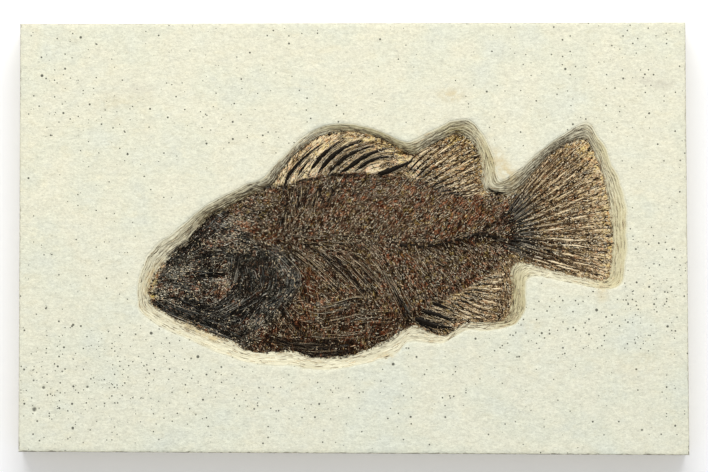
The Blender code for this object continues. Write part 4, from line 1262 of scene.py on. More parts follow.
fibreLook = {
    "dense": 1.7,  # fibres for each millimetre of a line
    "spread": (1.5, 0.9),  # beside the flow lines, beside the spines
    "share": (0.12, 0.45),  # of the line's length
    "lightShare": (0.36, 0.72),
    "light": ((0.44, 0.94), (0.60, 0.88)),
    "dark": ((0.01, 0.07), (0.14, 0.34)),
    "strokes": 720,
    "cracks": 0.6,
    "broad": 1.15,
    "seed": 61,
}

splinterLook = {
    "strewn": (5000, 12900),  # slivers in each of the two pieces
    "specks": 0.07,  # share of them that are short bright grains
    "sheaf": {"black": 1.6, "dark": 4.2, "steel": 4.4, "rust": 4.0},
    # slivers for each square millimetre of a route
    "crumbs": 1300,
    "crumbColumns": 2000,
    "shards": 2700,
    "length": (0.5, 2.2),
    "width": (0.24, 0.58),
    "turn": (0.20, 0.6),  # how far slivers stray from the run of the scales, for each half of them
    "grains": 5300,
    "seed": 41,
}

fanLook = {"seed": 17, "tailLines": 30}

# Lines that the fibres of the head, and then those of the body, run along.
flowLines = (
    ((-62.7, -9.3), (-59.5, -5.5), (-55.6, -2.3), (-51.8, 0.9), (-48.3, 4.4), (-44.1, 8.6), (-38, 11.8)),
    ((-64.6, -19.3), (-59.5, -22.8), (-53.7, -25.3), (-47.6, -27.6), (-40.3, -30.1), (-34.5, -33)),
    ((-63, -13.5), (-59.5, -13.5), (-55, -14.5), (-49.9, -16.1)),
    ((-52.4, -11.9), (-47.6, -11.6), (-42.8, -11.9), (-38.4, -10.6)),
    ((-53.7, -7.4), (-49.2, -5.5), (-44.1, -4.2), (-39, -4.2)),
    ((-61.1, -18.9), (-54.4, -20.5), (-47.6, -22.5), (-42.2, -20.9), (-37.7, -17.3), (-35.8, -14.5)),
    ((-47.3, -25.3), (-42.2, -25), (-36.4, -22.5), (-31.3, -19.6), (-27.5, -16.4)),
    ((-37.1, -4.2), (-37.7, -9.3), (-38.4, -14.5), (-40.9, -18.3)),
    ((-42.2, -13.8), (-44.8, -17), (-47.3, -19.6)),
    ((-34.5, -7.4), (-33.9, -12.5), (-34.2, -17.7)), ((-29.4, -5.5), (-28.8, -10.6), (-29.4, -16.4)),
    ((-25.2, -8.1), (-24, -11.9), (-24.6, -17), (-26.8, -20.2)),
    ((-26.8, -3.6), (-22.4, -6.8), (-18.5, -11.9), (-19.8, -16.4), (-23, -19.6), (-27.5, -22.1),
     (-31.3, -24.7)),
    ((-24.9, -22.1), (-28.8, -25.3), (-31.6, -28.5), (-33.9, -31.7)),
    ((-29.4, -21.5), (-32.6, -25.3), (-35.2, -29.2)),
    ((-23.6, -22.1), (-21.1, -26), (-18.2, -29.8), (-14, -32.4)),
    ((-29.4, -31.1), (-23, -33.3), (-16.6, -34.6), (-7.6, -34.9), (-0.6, -33.7)),
    ((-47.3, 7.9), (-43.5, 5.4), (-39, 3.5), (-33.9, 2.8)),
    ((-37.7, 10.5), (-32.6, 8.6), (-27.5, 7.9), (-22.4, 7.9)),
    ((-44.8, 0.3), (-39.6, 0.9), (-33.9, -0.4), (-29.4, -2.3)),
    ((-57.2, -16.4), (-52.4, -18.3), (-47.3, -19.6)),
    ((-20.4, 13.7), (-19.8, 8.6), (-20.4, 3.5)), ((-16, 16.3), (-16.3, 11.1), (-17.9, 6)),
    ((-11.5, 17.5), (-12.8, 11.8), (-15.3, 5.4)),
    ((-22.4, -0.4), (-17.2, -0.4), (-11.5, -1), (-5.1, -1.3), (2, -1.7)),
    ((-21.7, -2.3), (-16, -6.1), (-10.2, -11.3), (-5.1, -16.4), (-1.2, -20.5)),
    ((-14.7, -1.7), (-8.9, -6.1), (-3.8, -11.3), (1.3, -17), (4.5, -20.9)),
    ((-6.4, -4.9), (-1.2, -8.1), (3.9, -13.2), (7.7, -17.7)),
    ((-0.6, -6.1), (3.9, -10), (9, -15.7), (12.8, -20.2)),
    ((5.8, -3.6), (9.6, -9.3), (13.5, -15.7), (16.7, -22.1), (18.6, -26)),
    ((13.5, -7.4), (18, -13.8), (22.4, -19.6)),
    ((-17.2, -21.5), (-11.5, -22.5), (-5.7, -21.5), (0.7, -19.9), (7.1, -20.9)),
    ((-16, -27.9), (-8.9, -27.3), (-1.2, -25.3), (6.4, -24.1), (13.5, -24.1)),
    ((-16.6, -31.1), (-7.6, -31.7), (2, -30.8), (10.9, -27.9)),
)
headLines = 21  # how many of them lie on the head
flowReach = 2.3  # how far a line turns the fibres beside it
fishOutline = curveAt(marginPairs[:, 0], np.linspace(0, len(marginPairs), 600, endpoint=False), closed=True)


def flowAngle(x, y):
    # Mean direction of the flow lines round each place, taken on doubled angles because a line has no
    # sense, and how near the place is to one of them.
    total = np.zeros(x.shape, complex)
    for route in flowLines:
        way = resample(route, 14)
        middle, slope = (way[1:] + way[:-1]) / 2, np.diff(way, axis=0)
        turn = np.exp(2j * np.arctan2(slope[:, 1], slope[:, 0]))
        gap = (x[:, None] - middle[:, 0]) ** 2 + (y[:, None] - middle[:, 1]) ** 2
        total += np.exp(-gap / (2 * flowReach ** 2)) @ turn
    return np.angle(total) / 2, np.minimum(np.abs(total), 1.0)


def nearRoutes(x, y, kind):
    # How much each place lies under the loose bones of one kind: 1 on a route, 0 past its width.
    total = np.zeros(x.shape)
    for width, *route in boneRoutes[kind]:
        way = resample(route, 20)
        low, high = way.min(0) - 2.0, way.max(0) + 2.0
        near = np.flatnonzero((x > low[0]) & (x < high[0]) & (y > low[1]) & (y < high[1]))
        gap = np.hypot(x[near, None] - way[:, 0], y[near, None] - way[:, 1]).min(1)
        total[near] = np.maximum(total[near], np.exp(-(gap / (0.75 * width)) ** 2))
    return total


def grainAngle(x, y, masks):
    # Direction of the scales, rays or fibres, in radians: the course of the body or head, drawn towards
    # the flow lines near it, and lines from or round one centre on each fin.
    upper = np.interp(x, (-40, -20, 0, 30), (48, 68, 52, 44))
    lower = np.interp(x, (-20, 10, 45), (-46, -52, -42))
    angle = np.where(y > valueAlong(columnRoute, x), upper, lower)
    angle = np.radians(angle + 26 * softNoise(x, y, 4.0, 601, 2))
    head = np.radians(42 + 62 * softNoise(x, y, 6.0, 611, 2))
    swirl, reach = around(x, y, gillCover)
    head = np.where((reach > 6) & (reach < 11.5) & (x > gillCover[0] + 1), swirl + math.pi / 2, head)
    jaw = smoothStep(2.5, 0.5, (y + 18.6 + 0.42 * (x + 65.6)) * (x < -38))
    head = head * (1 - jaw) + math.radians(-24) * jaw
    angle = np.where(masks["head"] > 0.5, head, angle)
    flow, near = flowAngle(x, y)
    angle = np.angle((1 - near) * np.exp(2j * angle) + 1.5 * near * np.exp(2j * flow)) / 2
    for name, turn in (("tail", 0), ("soft", 0), ("anal", 0), ("spiny", math.pi / 2)):
        ray = around(x, y, fanCentres[name])[0] + turn
        angle = np.where(masks[name] > 0.5, ray, angle)
    return angle


def taper(rings, root=0.55, peak=0.3, tip=0.2):
    # Width along a bone: it swells from the root to 1 at the peak, thins to the tip, and closes at each end.
    share = np.linspace(0, 1, rings)
    body = root + (1 - root) * smoothStep(0, peak, share)
    body = body * (1 - (1 - tip) * smoothStep(peak, 1.0, share))
    return body * np.minimum(1.0, 0.25 + 6 * np.minimum(share, 1 - share))


def strokes(middle, angle, length, rings):
    # Lines through their middles at their angles, which may change along them.
    run = np.linspace(-0.5, 0.5, rings) * length
    return middle[:, None] + np.stack([np.cos(angle) * run, np.sin(angle) * run], -1)


def together(groups):
    # Joins groups of lines with their widths, rises, tones and warmths, each spread over every ring.
    spread = []
    for line, *values in groups:
        spread.append([line, *(np.broadcast_to(value, line.shape[:2]) for value in values)])
    return [np.concatenate(parts) for parts in zip(*spread)]


def tubes(line, width, rise, tone, warm, sides):
    # Closed low tubes: rings of an ellipse set square to each line, resting on the film or at the line's
    # own height.
    line, width, rise, tone, warm = together([(line, width, rise, tone, warm)])
    slope = np.gradient(line, axis=1)
    slope /= np.maximum(np.hypot(slope[..., 0], slope[..., 1]), 1e-9)[..., None]
    turn = (np.arange(sides) + 0.5 + 0.25 * (sides % 2)) / sides * 2 * math.pi
    reach = np.cos(turn) * width[..., None] / 2
    x = line[..., 0, None] - slope[..., 1, None] * reach
    y = line[..., 1, None] + slope[..., 0, None] * reach
    lift = np.where(np.sin(turn) > 0, rise[..., None], 0.16)
    ground = line[..., 2, None] if line.shape[-1] == 3 else filmHeight(x, y)
    z = ground + 0.03 + np.sin(turn) * lift
    count, rings = line.shape[:2]
    order = np.arange(count)
    start = (order * rings * sides)[:, None, None]
    ring = start + (np.arange(rings - 1) * sides)[None, :, None]
    side = np.arange(sides)[None, None, :]
    after = (side + 1) % sides
    quads = np.stack([ring + side, ring + after, ring + sides + after, ring + sides + side], -1)
    ends = start[:, 0] + np.arange(sides)
    steps = np.hypot(*np.moveaxis(np.diff(line[..., :2], axis=1), -1, 0))
    run = np.concatenate([np.zeros((count, 1)), np.cumsum(steps, 1)], 1) + (order * 7.31)[:, None]
    aside = np.broadcast_to(reach, x.shape) + (order * 3.7)[:, None, None]
    uv = np.stack([np.broadcast_to(run[..., None], x.shape), aside], -1)
    # side runs from -1 to 1 across each tube; the bone shader uses it to paint one side lighter, as painted
    # light.
    values = {"tone": tone[..., None], "warm": warm[..., None], "side": np.cos(turn)}
    values = {key: np.broadcast_to(value, x.shape).ravel() for key, value in values.items()}
    points = np.stack([x, y, z], -1).reshape(-1, 3)
    caps = (ends[:, ::-1], ends + (rings - 1) * sides)
    return points, quads.reshape(-1, 4), caps, values, uv.reshape(-1, 2)


def bundles(rings=3):
    # Sheaves of slivers along the routes of the loose bones: one in five is pale, the rest keep to the
    # bone's finish.
    rng = np.random.default_rng(splinterLook["seed"] + 1)
    groups = []
    for kind, dense in splinterLook["sheaf"].items():
        tone, warm, rise = boneFinish[kind]
        for width, *route in boneRoutes[kind]:
            way = resample(route, 60)
            count = int(strides(way).sum() * width * dense)
            start = rng.integers(0, 56, count)
            slope = way[start + 3] - way[start]
            angle = np.arctan2(slope[:, 1], slope[:, 0]) + rng.normal(0, 0.20, count)
            middle = way[start] + rng.normal(0, width * 0.40, (count, 2))
            line = strokes(middle, angle[:, None], rng.uniform(0.8, 2.8, (count, 1)), rings)
            shade = tone * rng.uniform(0.1, 1.8, (count, 1))
            shade = np.where(rng.random((count, 1)) < 0.2, rng.uniform(0.26, 0.55, (count, 1)), shade)
            wide = rng.uniform(0.16, 0.38, (count, 1)) * np.array((0.35, 1.0, 0.3))
            high = rng.uniform(0.10, rise, (count, 1))
            warmth = np.clip(warm + rng.normal(0, 0.2, (count, 1)), 0, 1.6)
            groups.append((line, wide, high, np.clip(shade, 0.02, 0.8), warmth))
    return together(groups)


def looseBones(rings=24):
    # One tube along each black or pale route, its width ragged with a short noise.
    groups = []
    for kind, bold in (("black", 1.45), ("pale", 1.0)):
        tone, warm, rise = boneFinish[kind]
        for width, *route in boneRoutes[kind]:
            line = resample(route, rings)
            ragged = 1 + 0.42 * softNoise(line[:, 0], line[:, 1], 0.7, 701, 2)
            wide = width * ragged * bold * taper(rings, 0.75, 0.35, 0.35)
            high = rise * min(1.25, 0.4 + width) * taper(rings)
            groups.append((line[None], wide, high, tone, warm))
    return together(groups)


def fanLines(fan, places, rings, start=0.0, end=1.0):
    # Straight lines from the curve of roots to the curve of tips, bowed a little to one side.
    roots, tips = (curveAt(fan[side], places * (len(fan[side]) - 1)) for side in ("roots", "tips"))
    start, end = np.asarray(start)[..., None], np.asarray(end)[..., None]
    share = np.linspace(0, 1, rings) * (end - start) + start
    line = roots[:, None] + (tips - roots)[:, None] * share[..., None]
    aside = unit(np.stack([-(tips - roots)[:, 1], (tips - roots)[:, 0]], -1))
    bow = fan["bow"] * np.sin(share * math.pi) * (1 - 2 * places[:, None] * (fan["bow"] > 0.8))
    return line + aside[:, None] * bow[..., None]


def fanBones(rings=16):
    # Dark rays that each fork once, with the pale filling between them broken into strokes.
    rng = np.random.default_rng(fanLook["seed"])
    groups = []
    for name, fan in fans.items():
        count = fan["count"]
        places = (np.arange(count) + 0.5 + rng.uniform(-0.12, 0.12, count)) / count
        none = np.zeros(count)
        share = np.linspace(0, 1, rings)
        width = fan["width"][0] + (fan["width"][1] - fan["width"][0]) * share
        dark = 0.085 + 0.12 * smoothStep(0.25, 0.8, share)
        steel = 0.25 + 0.85 * smoothStep(0.15, 0.6, share)
        trunk = fanLines(fan, places, rings, none, none + fan["fork"] + 0.06)
        groups.append((trunk, width * taper(rings, 0.5, 0.15, 0.8), 0.16, dark, steel))
        # past the fork the two halves run on to the margin
        for way in (-1, 1):
            apart = np.clip(places + way * fan["spread"] / count / 4, 0, 1)
            half, whole = (
                fanLines(fan, ray, rings, none + fan["fork"] - 0.02, none + 0.985) for ray in (apart, places)
            )
            line = whole + (half - whole) * smoothStep(0.0, 0.5, share)[:, None]
            wide = 0.66 * fan["width"][1] * 1.5 * taper(rings, 0.7, 0.2, 0.5)
            groups.append((line, wide, 0.13, dark[-1] + 0.05 * share, 1.0))
        # the pale strokes are boldest half way out
        for stroke in range(3):
            between = (np.arange(count + 1) + rng.uniform(-0.2, 0.2, count + 1)) / count
            between = np.clip(between, 0.01, 0.99)
            begin = fan["lineStart"] + 0.22 * stroke + rng.uniform(-0.10, 0.14, count + 1)
            end = np.minimum(begin + rng.uniform(0.12, 0.34, count + 1), 0.97)
            middle = ((begin + end) / 2)[:, None]
            thin, thick = fan["lineWidth"]
            wide = thin + (thick - thin) * smoothStep(0.15, 0.6, middle)
            wide = wide * rng.uniform(0.55, 1.2, (count + 1, 1)) * taper(rings, 0.4, 0.4, 0.4)
            lit = 0.52 + 0.34 * smoothStep(0.2, 0.5, middle) - 0.10 * smoothStep(0.7, 0.95, middle)
            upper = 1 - fan["upperDim"] * (1 - smoothStep(0.1, 0.4, between))
            lit = lit * rng.uniform(0.75, 1.1, (count + 1, 1)) * upper[:, None]
            lower = smoothStep(0.55, 0.75, between)[:, None]
            lit = lit * (1 - fan["upperDim"] * lower * (1 - smoothStep(0.35, 0.62, middle)))
            warm = 0.55 + 0.4 * smoothStep(0.2, 0.6, middle)
            groups.append((fanLines(fan, between, rings, begin, end), wide, 0.15, lit, warm))
        # thin pale lines between the roots of the tail's rays, and between the tips of all rays
        if name == "tail":
            root = rng.uniform(0.02, 0.98, fanLook["tailLines"])
            begin = rng.uniform(0.0, 0.16, fanLook["tailLines"])
            end = begin + rng.uniform(0.12, 0.26, fanLook["tailLines"])
            line = fanLines(fan, root, rings, begin, end)
            groups.append((line, 0.24 * taper(rings, 0.4, 0.4, 0.4), 0.19, 0.46, 0.30))
        thin = (np.arange(count * 2) + 0.5 + rng.uniform(-0.3, 0.3, count * 2)) / (count * 2)
        begin = rng.uniform(0.5, 0.72, count * 2)
        end = begin + rng.uniform(0.12, 0.27, count * 2)
        line = fanLines(fan, np.clip(thin, 0.01, 0.99), rings, begin, end)
        groups.append((line, 0.22 * taper(rings, 0.4, 0.3, 0.5), 0.12, 0.62, 0.95))
    line, *values = together(groups)
    wobble = 0.17 * softNoise(line[..., 0], line[..., 1], 1.5, 91, 3)
    return [line + wobble[..., None], *values]


def columnBones(rings=14):
    # Spool-shaped vertebrae along the column, with a dark and a pale spine above and below most of them.
    look = columnLook
    rng = np.random.default_rng(look["seed"])
    count = look["vertebrae"]
    share = (np.arange(count) + 0.5) / count
    x = look["from"] + (look["to"] - look["from"]) * share + rng.uniform(-0.3, 0.3, count)
    y = valueAlong(columnRoute, x) + rng.uniform(-0.25, 0.25, count)
    slope = (valueAlong(columnRoute, x + 1) - valueAlong(columnRoute, x - 1)) / 2
    across = np.linspace(-0.5, 0.5, rings)
    place = x[:, None] + look["length"] * rng.uniform(0.8, 1.15, (count, 1)) * across
    spool = 0.62 + 0.38 * np.abs(2 * across) ** 1.5
    closed = np.minimum(1, 0.5 + 8 * (0.5 - np.abs(across)))
    width = look["width"] * spool * rng.uniform(0.7, 1.15, (count, 1)) * closed
    bold = smoothStep(-4, 18, x)[:, None]
    line = np.stack([place, y[:, None] + slope[:, None] * (place - x[:, None])], -1)
    groups = [(line, width * (0.55 + 0.75 * bold), 0.22, 0.30 - 0.24 * bold, 0.6)]
    share = np.linspace(0, 1, rings)
    ends = (-30, 46)
    for side in ("upper", "lower"):
        for shift, finish, scale, chance in ((0.0, 0.10, 1.0, 0.85), (0.42, 0.48, 0.62, 0.6)):
            chosen = rng.random(count) < chance
            angle = np.radians(np.interp(x, ends, look[side + "Angle"]) + rng.uniform(-5, 5, count))
            length = np.interp(x, ends, look[side + "Length"]) * rng.uniform(0.55, 1.05, count)
            begin = rng.uniform(0.0, 0.3, count) * length
            run = begin[:, None] + (length - begin)[:, None] * share
            bend = angle[:, None] - np.sign(angle)[:, None] * 0.25 * share
            line = np.stack([x[:, None] + shift + np.cos(bend) * run, y[:, None] + np.sin(bend) * run], -1)
            width = look["boneWidth"] * scale * taper(rings) * rng.uniform(0.7, 1.4, (count, 1))
            tone = finish + rng.uniform(-0.03, 0.06, (count, 1))
            groups.append((line[chosen], width[chosen], 0.12, tone[chosen], 0.55))
    return together(groups)


def besideRoute(rng, way, count, spans, rings):
    # Random stretches of a way: how far along it each ring is, its place there, and the way's direction.
    slope = unit(np.gradient(way, axis=0))
    span = rng.uniform(*spans, (count, 1))
    share = rng.random((count, 1)) * (1 - span) + span * np.linspace(0, 1, rings)
    last = len(way) - 1
    return share, *(np.interp(share * last, np.arange(last + 1), part) for part in (*way.T, *slope.T))


def fibres(rings=7):
    # Long thin fibres and cracks: each is a stretch of a flow line moved to its side, so a sheaf opens
    # along the line.
    look = fibreLook
    rng = np.random.default_rng(look["seed"])
    groups = []
    spines = [route for width, *route in boneRoutes["black"]]
    crowds = [0.6] * headLines + [1.0] * (len(flowLines) - headLines) + [1.5] * len(spines)
    for number, route in enumerate((*flowLines, *spines)):
        beside = int(number >= len(flowLines))
        way = resample(route, 60)
        count = int(strides(way).sum() * look["dense"] * crowds[number])
        share, x, y, dx, dy = besideRoute(rng, way, count, look["share"], rings)
        aside = rng.normal(0, look["spread"][beside], (count, 1)) * (0.75 + 0.6 * share)
        light = rng.random((count, 1)) < look["lightShare"][beside]
        wide = np.where(light, rng.uniform(0.16, 0.32, (count, 1)), rng.uniform(0.2, 0.5, (count, 1)))
        pale, deep = (rng.uniform(*look[key][beside], (count, 1)) for key in ("light", "dark"))
        line = np.stack([x - dy * aside, y + dx * aside], -1)
        groups.append((line, wide * taper(rings, 0.5, 0.4, 0.3), np.where(light, pale, deep)))
    # broad dark strokes lie on the bones of the head
    for route in flowLines[:headLines]:
        way = resample(route, 60)
        count = int(strides(way).sum() * look["broad"])
        share, x, y, dx, dy = besideRoute(rng, way, count, (0.12, 0.4), rings)
        aside = rng.normal(0, 1.2, (count, 1)) + 0.25 * softNoise(x, y, 1.6, 671)
        wide = rng.uniform(0.4, 1.05, (count, 1)) * taper(rings, 0.4, 0.4, 0.3)
        wide = wide * (1 + 0.3 * softNoise(x, y, 0.8, 673))
        black = rng.random((count, 1)) < 0.68
        shade = np.where(black, rng.uniform(0.0, 0.07, (count, 1)), rng.uniform(0.18, 0.36, (count, 1)))
        groups.append((np.stack([x - dy * aside, y + dx * aside], -1), wide, shade))
    # single long strokes along the spines of the backbone, over the whole body
    count = look["strokes"]
    place = rng.uniform((-24.0, -32.0), (44.0, 20.0), (count, 2))
    angle = grainAngle(*place.T, finMasks(*place.T)) + rng.normal(0, 0.10, count)
    length = rng.uniform(2.0, 6.5, (count, 1))
    bend = angle[:, None] + rng.normal(0, 0.10, (count, 1)) * np.linspace(-1, 1, rings)
    wide = rng.uniform(0.16, 0.30, (count, 1)) * taper(rings, 0.4, 0.5, 0.3)
    light = rng.random((count, 1)) < 0.5
    shade = np.where(light, rng.uniform(0.42, 0.78, (count, 1)), rng.uniform(0.0, 0.05, (count, 1)))
    groups.append((strokes(place, bend, length, rings), wide, shade))
    line, width, tone = together(groups)
    depth = loopDistance(line[..., 0].ravel(), line[..., 1].ravel(), fishOutline)
    keep = (depth.reshape(line.shape[:2]) > 0.2).all(1)
    line, width, tone = line[keep], width[keep], tone[keep]
    # a dark crack runs beside some of the brighter ones
    lit = (tone[:, 0] > 0.5) & (rng.random(len(tone)) < look["cracks"])
    slope = unit(line[lit, -1] - line[lit, 0])
    aside = (width[lit].max(1) / 2 + 0.12)[:, None, None]
    cracks = line[lit] + np.stack([slope[:, 1], -slope[:, 0]], -1)[:, None] * aside
    line, width, tone = together([(line, width, tone), (cracks, width[lit] * 1.3, 0.02)])
    head = finMasks(line[:, rings // 2, 0], line[:, rings // 2, 1])["head"]
    warm = np.clip(rng.uniform(0.5, 1.12, len(line)) - 0.85 * head, 0, 1.2)
    return line, width, 0.15, tone, warm[:, None]


def splinters(count, seed, rings=3):
    # Short slivers strewn over the film along its grain, brighter or darker than what they lie on.
    look = splinterLook
    rng = np.random.default_rng(seed)
    place = rng.uniform(fishOutline.min(0), fishOutline.max(0), (count * 3, 2))
    place = place[loopDistance(*place.T, fishOutline) > 0.25][:count]
    x, y = place.T
    masks = finMasks(x, y)
    tone = skinTone(x, y, masks)[0]
    count = len(x)
    fins, head = masks["fins"], masks["head"]
    loose = np.where(rng.random(count) < 0.45, look["turn"][1], look["turn"][0])
    angle = grainAngle(x, y, masks) + rng.normal(0, 1, count) * np.where(fins > 0.5, 0.20, loose)
    length = look["length"][0] + (look["length"][1] - look["length"][0]) * rng.random(count) ** 3.0
    length = length * np.where(fins > 0.5, 1.15, 0.62 + 0.5 * flowAngle(x, y)[1] * (1 - 0.6 * head))
    width = look["width"][0] + (look["width"][1] - look["width"][0]) * rng.random(count) ** 1.6
    specks = rng.random(count) < look["specks"]
    length = np.where(specks, rng.uniform(0.3, 0.6, count), length)
    width = np.where(specks, rng.uniform(0.28, 0.5, count), width)
    line = strokes(place, angle[:, None], length[:, None], rings)
    wide = (width * (1 + 0.22 * head))[:, None] * np.array((0.5, 1.0, 0.4))
    pick = rng.random(count)
    calm = calmPlaces(x, y)
    busy = np.clip(1 + 1.5 * (1 - fins) * (1 - head) * softNoise(x, y, 2.8, 661, 2), 0.2, 1.9)
    plates = head * (0.16 * headPatches(x, y) + 0.20 * cover(x, y, brownFields) - 0.03)
    chance = busy * (0.26 + 0.14 * fins + plates) * (1 - 0.8 * calm)
    specks &= rng.random(count) > calm
    bright = tone + 0.20 + 0.06 * head + (0.68 + 0.20 * head + 0.08 * fins) * rng.random(count) ** 1.65
    dark = tone * rng.uniform(0.0, 0.26, count)
    even = tone * rng.uniform(0.75, 1.25, count)
    shade = np.where(pick < chance, bright, np.where(pick < chance + 0.40, dark, even))
    shade = np.where(specks, tone + rng.uniform(0.30, 0.66, count), shade)
    # Painted sheen: slivers turn cool grey over the painted blue sheen and on the head.
    coldSheen = cover(x, y, blueSheenFields) + head * 0.85
    warm = 0.69 + 0.62 * softNoise(x, y, 3.4, 651, 2) + 0.24 * softNoise(x, y, 1.1, 657)
    warm = warm + rng.normal(0, 0.09, count)
    warm = np.where(fins > 0.5, 0.9 + 0.3 * (warm - 0.72), warm)
    warm = warm + cover(x, y, rustFields) * rng.uniform(0.16, 0.34, count) - 0.7 * coldSheen
    warm = np.clip(warm + 0.35 * blobs(x, y, brownFields), 0, 1.2)
    browner = warm + np.where(pick > chance, 0.13, -0.05) + 1.1 * rustPatches(x, y, masks)
    warm = np.where(fins < 0.5, browner, warm)
    warm = np.where(specks | (blobs(x, y, crustFields) > 0.4), rng.uniform(0.45, 1.0, count), warm)
    rise = 0.06 + 0.11 * rng.random(count) * (pick < 0.8) + 0.06 * specks
    return line, wide, rise[:, None], np.clip(shade, 0.0, 0.96)[:, None], warm[:, None]


def grains(rings=2):
    # Small crystals of calcite and pits of black bone, thickest on the head, the nape and along the backbone.
    look = splinterLook
    rng = np.random.default_rng(look["seed"] + 5)
    place = rng.uniform(fishOutline.min(0), fishOutline.max(0), (look["grains"] * 5, 2))
    place = place[loopDistance(*place.T, fishOutline) > 0.25]
    x, y = place.T
    masks = finMasks(x, y)
    crowd = 0.34 - 0.12 * masks["tail"] - 0.2 * masks["spiny"] + 0.08 * masks["head"]
    crowd = crowd + 0.5 * np.exp(-((y - valueAlong(columnRoute, x)) / 3.0) ** 2)
    crowd = crowd + 0.3 * softNoise(x, y, 3.0, 641, 2)
    place = place[rng.random(len(place)) < crowd][:look["grains"]]
    x, y = place.T
    masks = finMasks(x, y)
    count = len(x)
    tone = skinTone(x, y, masks)[0]
    angle = grainAngle(x, y, masks) + rng.normal(0, 0.7, count)
    fins = masks["fins"]
    chance = (0.50 + 0.16 * fins + 0.3 * masks["head"] * headPatches(x, y)) * (1 - calmPlaces(x, y))
    light = rng.random(count) < chance
    # each crystal sits in a dark socket a little larger than itself
    place, angle = (np.concatenate([value, value[light]]) for value in (place, angle))
    size = np.where(light, rng.uniform(0.40, 0.80, count), rng.uniform(0.5, 1.6, count))
    size = np.concatenate([size, size[light] + 0.36])
    line = strokes(place, angle[:, None], size[:, None], rings)
    width = rng.uniform(0.34, 0.62, (count, 1)) * np.array((1.0, 0.6))
    width = np.concatenate([width, width[light] + 0.34])
    lit = np.clip(tone + rng.uniform(0.46, 0.84, count), 0.60, 0.97)
    shade = np.where(light, lit, rng.uniform(0.0, 0.03, count))
    warm = np.where(light, rng.uniform(0.45, 1.1, count), rng.uniform(0.0, 0.9, count))
    rise = np.concatenate([np.where(light, 0.26, 0.16), np.full(light.sum(), 0.19)])
    socket = tone[light] * (rng.uniform(0.0, 0.35, light.sum()) + 0.35 * fins[light])
    shade, warm = np.concatenate([shade, socket]), np.concatenate([warm, warm[light]])
    return line, width, rise[:, None], shade[:, None], warm[:, None]


def crumbs(rings=3):
    # Specks of bone and film broken onto the rock just outside the margin.
    rng = np.random.default_rng(splinterLook["seed"] + 2)
    count = splinterLook["crumbs"]
    fish, outward = marginColumns(splinterLook["crumbColumns"])[2:]
    pick = rng.integers(0, len(fish), count)
    outward = unit(outward[pick])
    middle = fish[pick] + outward * (np.abs(rng.normal(0, 0.42, count)) - 0.15)[:, None]
    angle = np.arctan2(outward[:, 1], outward[:, 0]) + rng.normal(0, 0.9, count)
    line = strokes(middle, angle[:, None], rng.uniform(0.25, 1.1, (count, 1)), rings)
    width = rng.uniform(0.14, 0.36, (count, 1)) * np.array((0.4, 1.0, 0.4))
    # the right-hand fins and the snout fray into gold
    pale = 0.4 + 0.6 * smoothStep(38.0, 42.0, middle[:, 0]) * (middle[:, 1] < 27.0)
    pale = np.maximum(pale, 0.8 * smoothStep(-58.0, -62.0, middle[:, 0]))
    tone = np.where(rng.random(count) > pale, rng.uniform(0.06, 0.3, count), rng.uniform(0.38, 0.75, count))
    return line, width, 0.16, tone[:, None], 1.0


def shards(rings=5):
    # Flakes on the ledges of the hollow: stretches of the band's own lines, darker or paler than the stain
    # and painted shade there.
    rng = np.random.default_rng(splinterLook["seed"] + 3)
    band, across = hollowBand()[:2]
    rows, columns = across.shape
    inner, outer = stainAndShadeAlong(columns)
    count = splinterLook["shards"]
    row = 3 + (rng.random(count) ** 0.75 * (rows - 9)).astype(int)
    column = rng.integers(0, columns, count)
    reach = rng.integers(2, 9, count)
    steps = (column[:, None] + np.rint(np.linspace(0, 1, rings) * reach[:, None]).astype(int)) % columns
    share = rng.random((count, 1, 1))
    line = band[row[:, None], steps] * (1 - share) + band[row[:, None] + 1, steps] * share
    deep = across[row, column]
    stainAndShade = inner[column] * deep + outer[column] * (1 - deep)
    keep = rng.random(count) < 0.25 + 1.1 * stainAndShade
    tone = 0.80 - 0.62 * stainAndShade
    low = 0.42 - 0.24 * smoothStep(0.6, 0.95, deep)
    dim = rng.random(count) < 0.6
    darker = tone * rng.uniform(low, 0.95)
    tone = np.where(dim, darker, np.minimum(tone * rng.uniform(1.05, 1.3, count), 0.84))
    width = rng.uniform(0.12, 0.36, (count, 1)) * taper(rings, 0.4, 0.4, 0.35)
    warm = rng.uniform(0.45, 1.0, (count, 1))
    return line[keep], width[keep], 0.07, tone[keep, None], warm[keep]


def boneMaterial():
    # Brightness is the bone's own tone plus fibres and specks that grow with it, and painted light that makes
    # one side of each tube lighter; warmth picks grey, brown or red.
    material, shader = newMaterial("fossilBone")
    place, grain = millimetres()
    tone, warm = attribute("tone"), attribute("warm")
    long = noiseNode(stretched(grain, (0.7, 3.0, 1.0)), 1.0, 3.0, 0.6)
    speck = noiseNode(place, 2.3, 2.0, 0.7)
    total = (long - 0.5) * 1.1 + (speck - 0.5) * 1.2
    # Painted light: one side of each tube is made a little lighter and the other a little darker.
    value = tone + total * (tone * 0.55 + 0.17) + attribute("side") * 0.03
    brown = ramp(value, (
        (0.02, (15, 8, 2)), (0.14, (48, 34, 18)), (0.26, (82, 65, 46)), (0.40, (119, 102, 80)),
        (0.55, (166, 144, 109)), (0.70, (210, 188, 146)), (0.85, (240, 222, 184)),
    ))
    steel = ramp(value, (
        (0.02, (8, 8, 7)), (0.14, (33, 35, 32)), (0.30, (75, 77, 73)), (0.50, (129, 128, 119)),
        (0.66, (184, 180, 166)), (0.85, (230, 223, 204)),
    ))
    colour = mixColour(maths("MINIMUM", warm, 1.0), steel, brown)
    red = maths("MULTIPLY", warm - 0.9, 0.9, clamp=True)
    colour = mixColour(red, colour, tinted(colour, (255, 190, 154)))
    finishShader(shader, colour, long + speck, 0.7, 0.10 * mm, remap(value, 0.05, 0.5, 0.36, 0.66), 0.06)
    return material


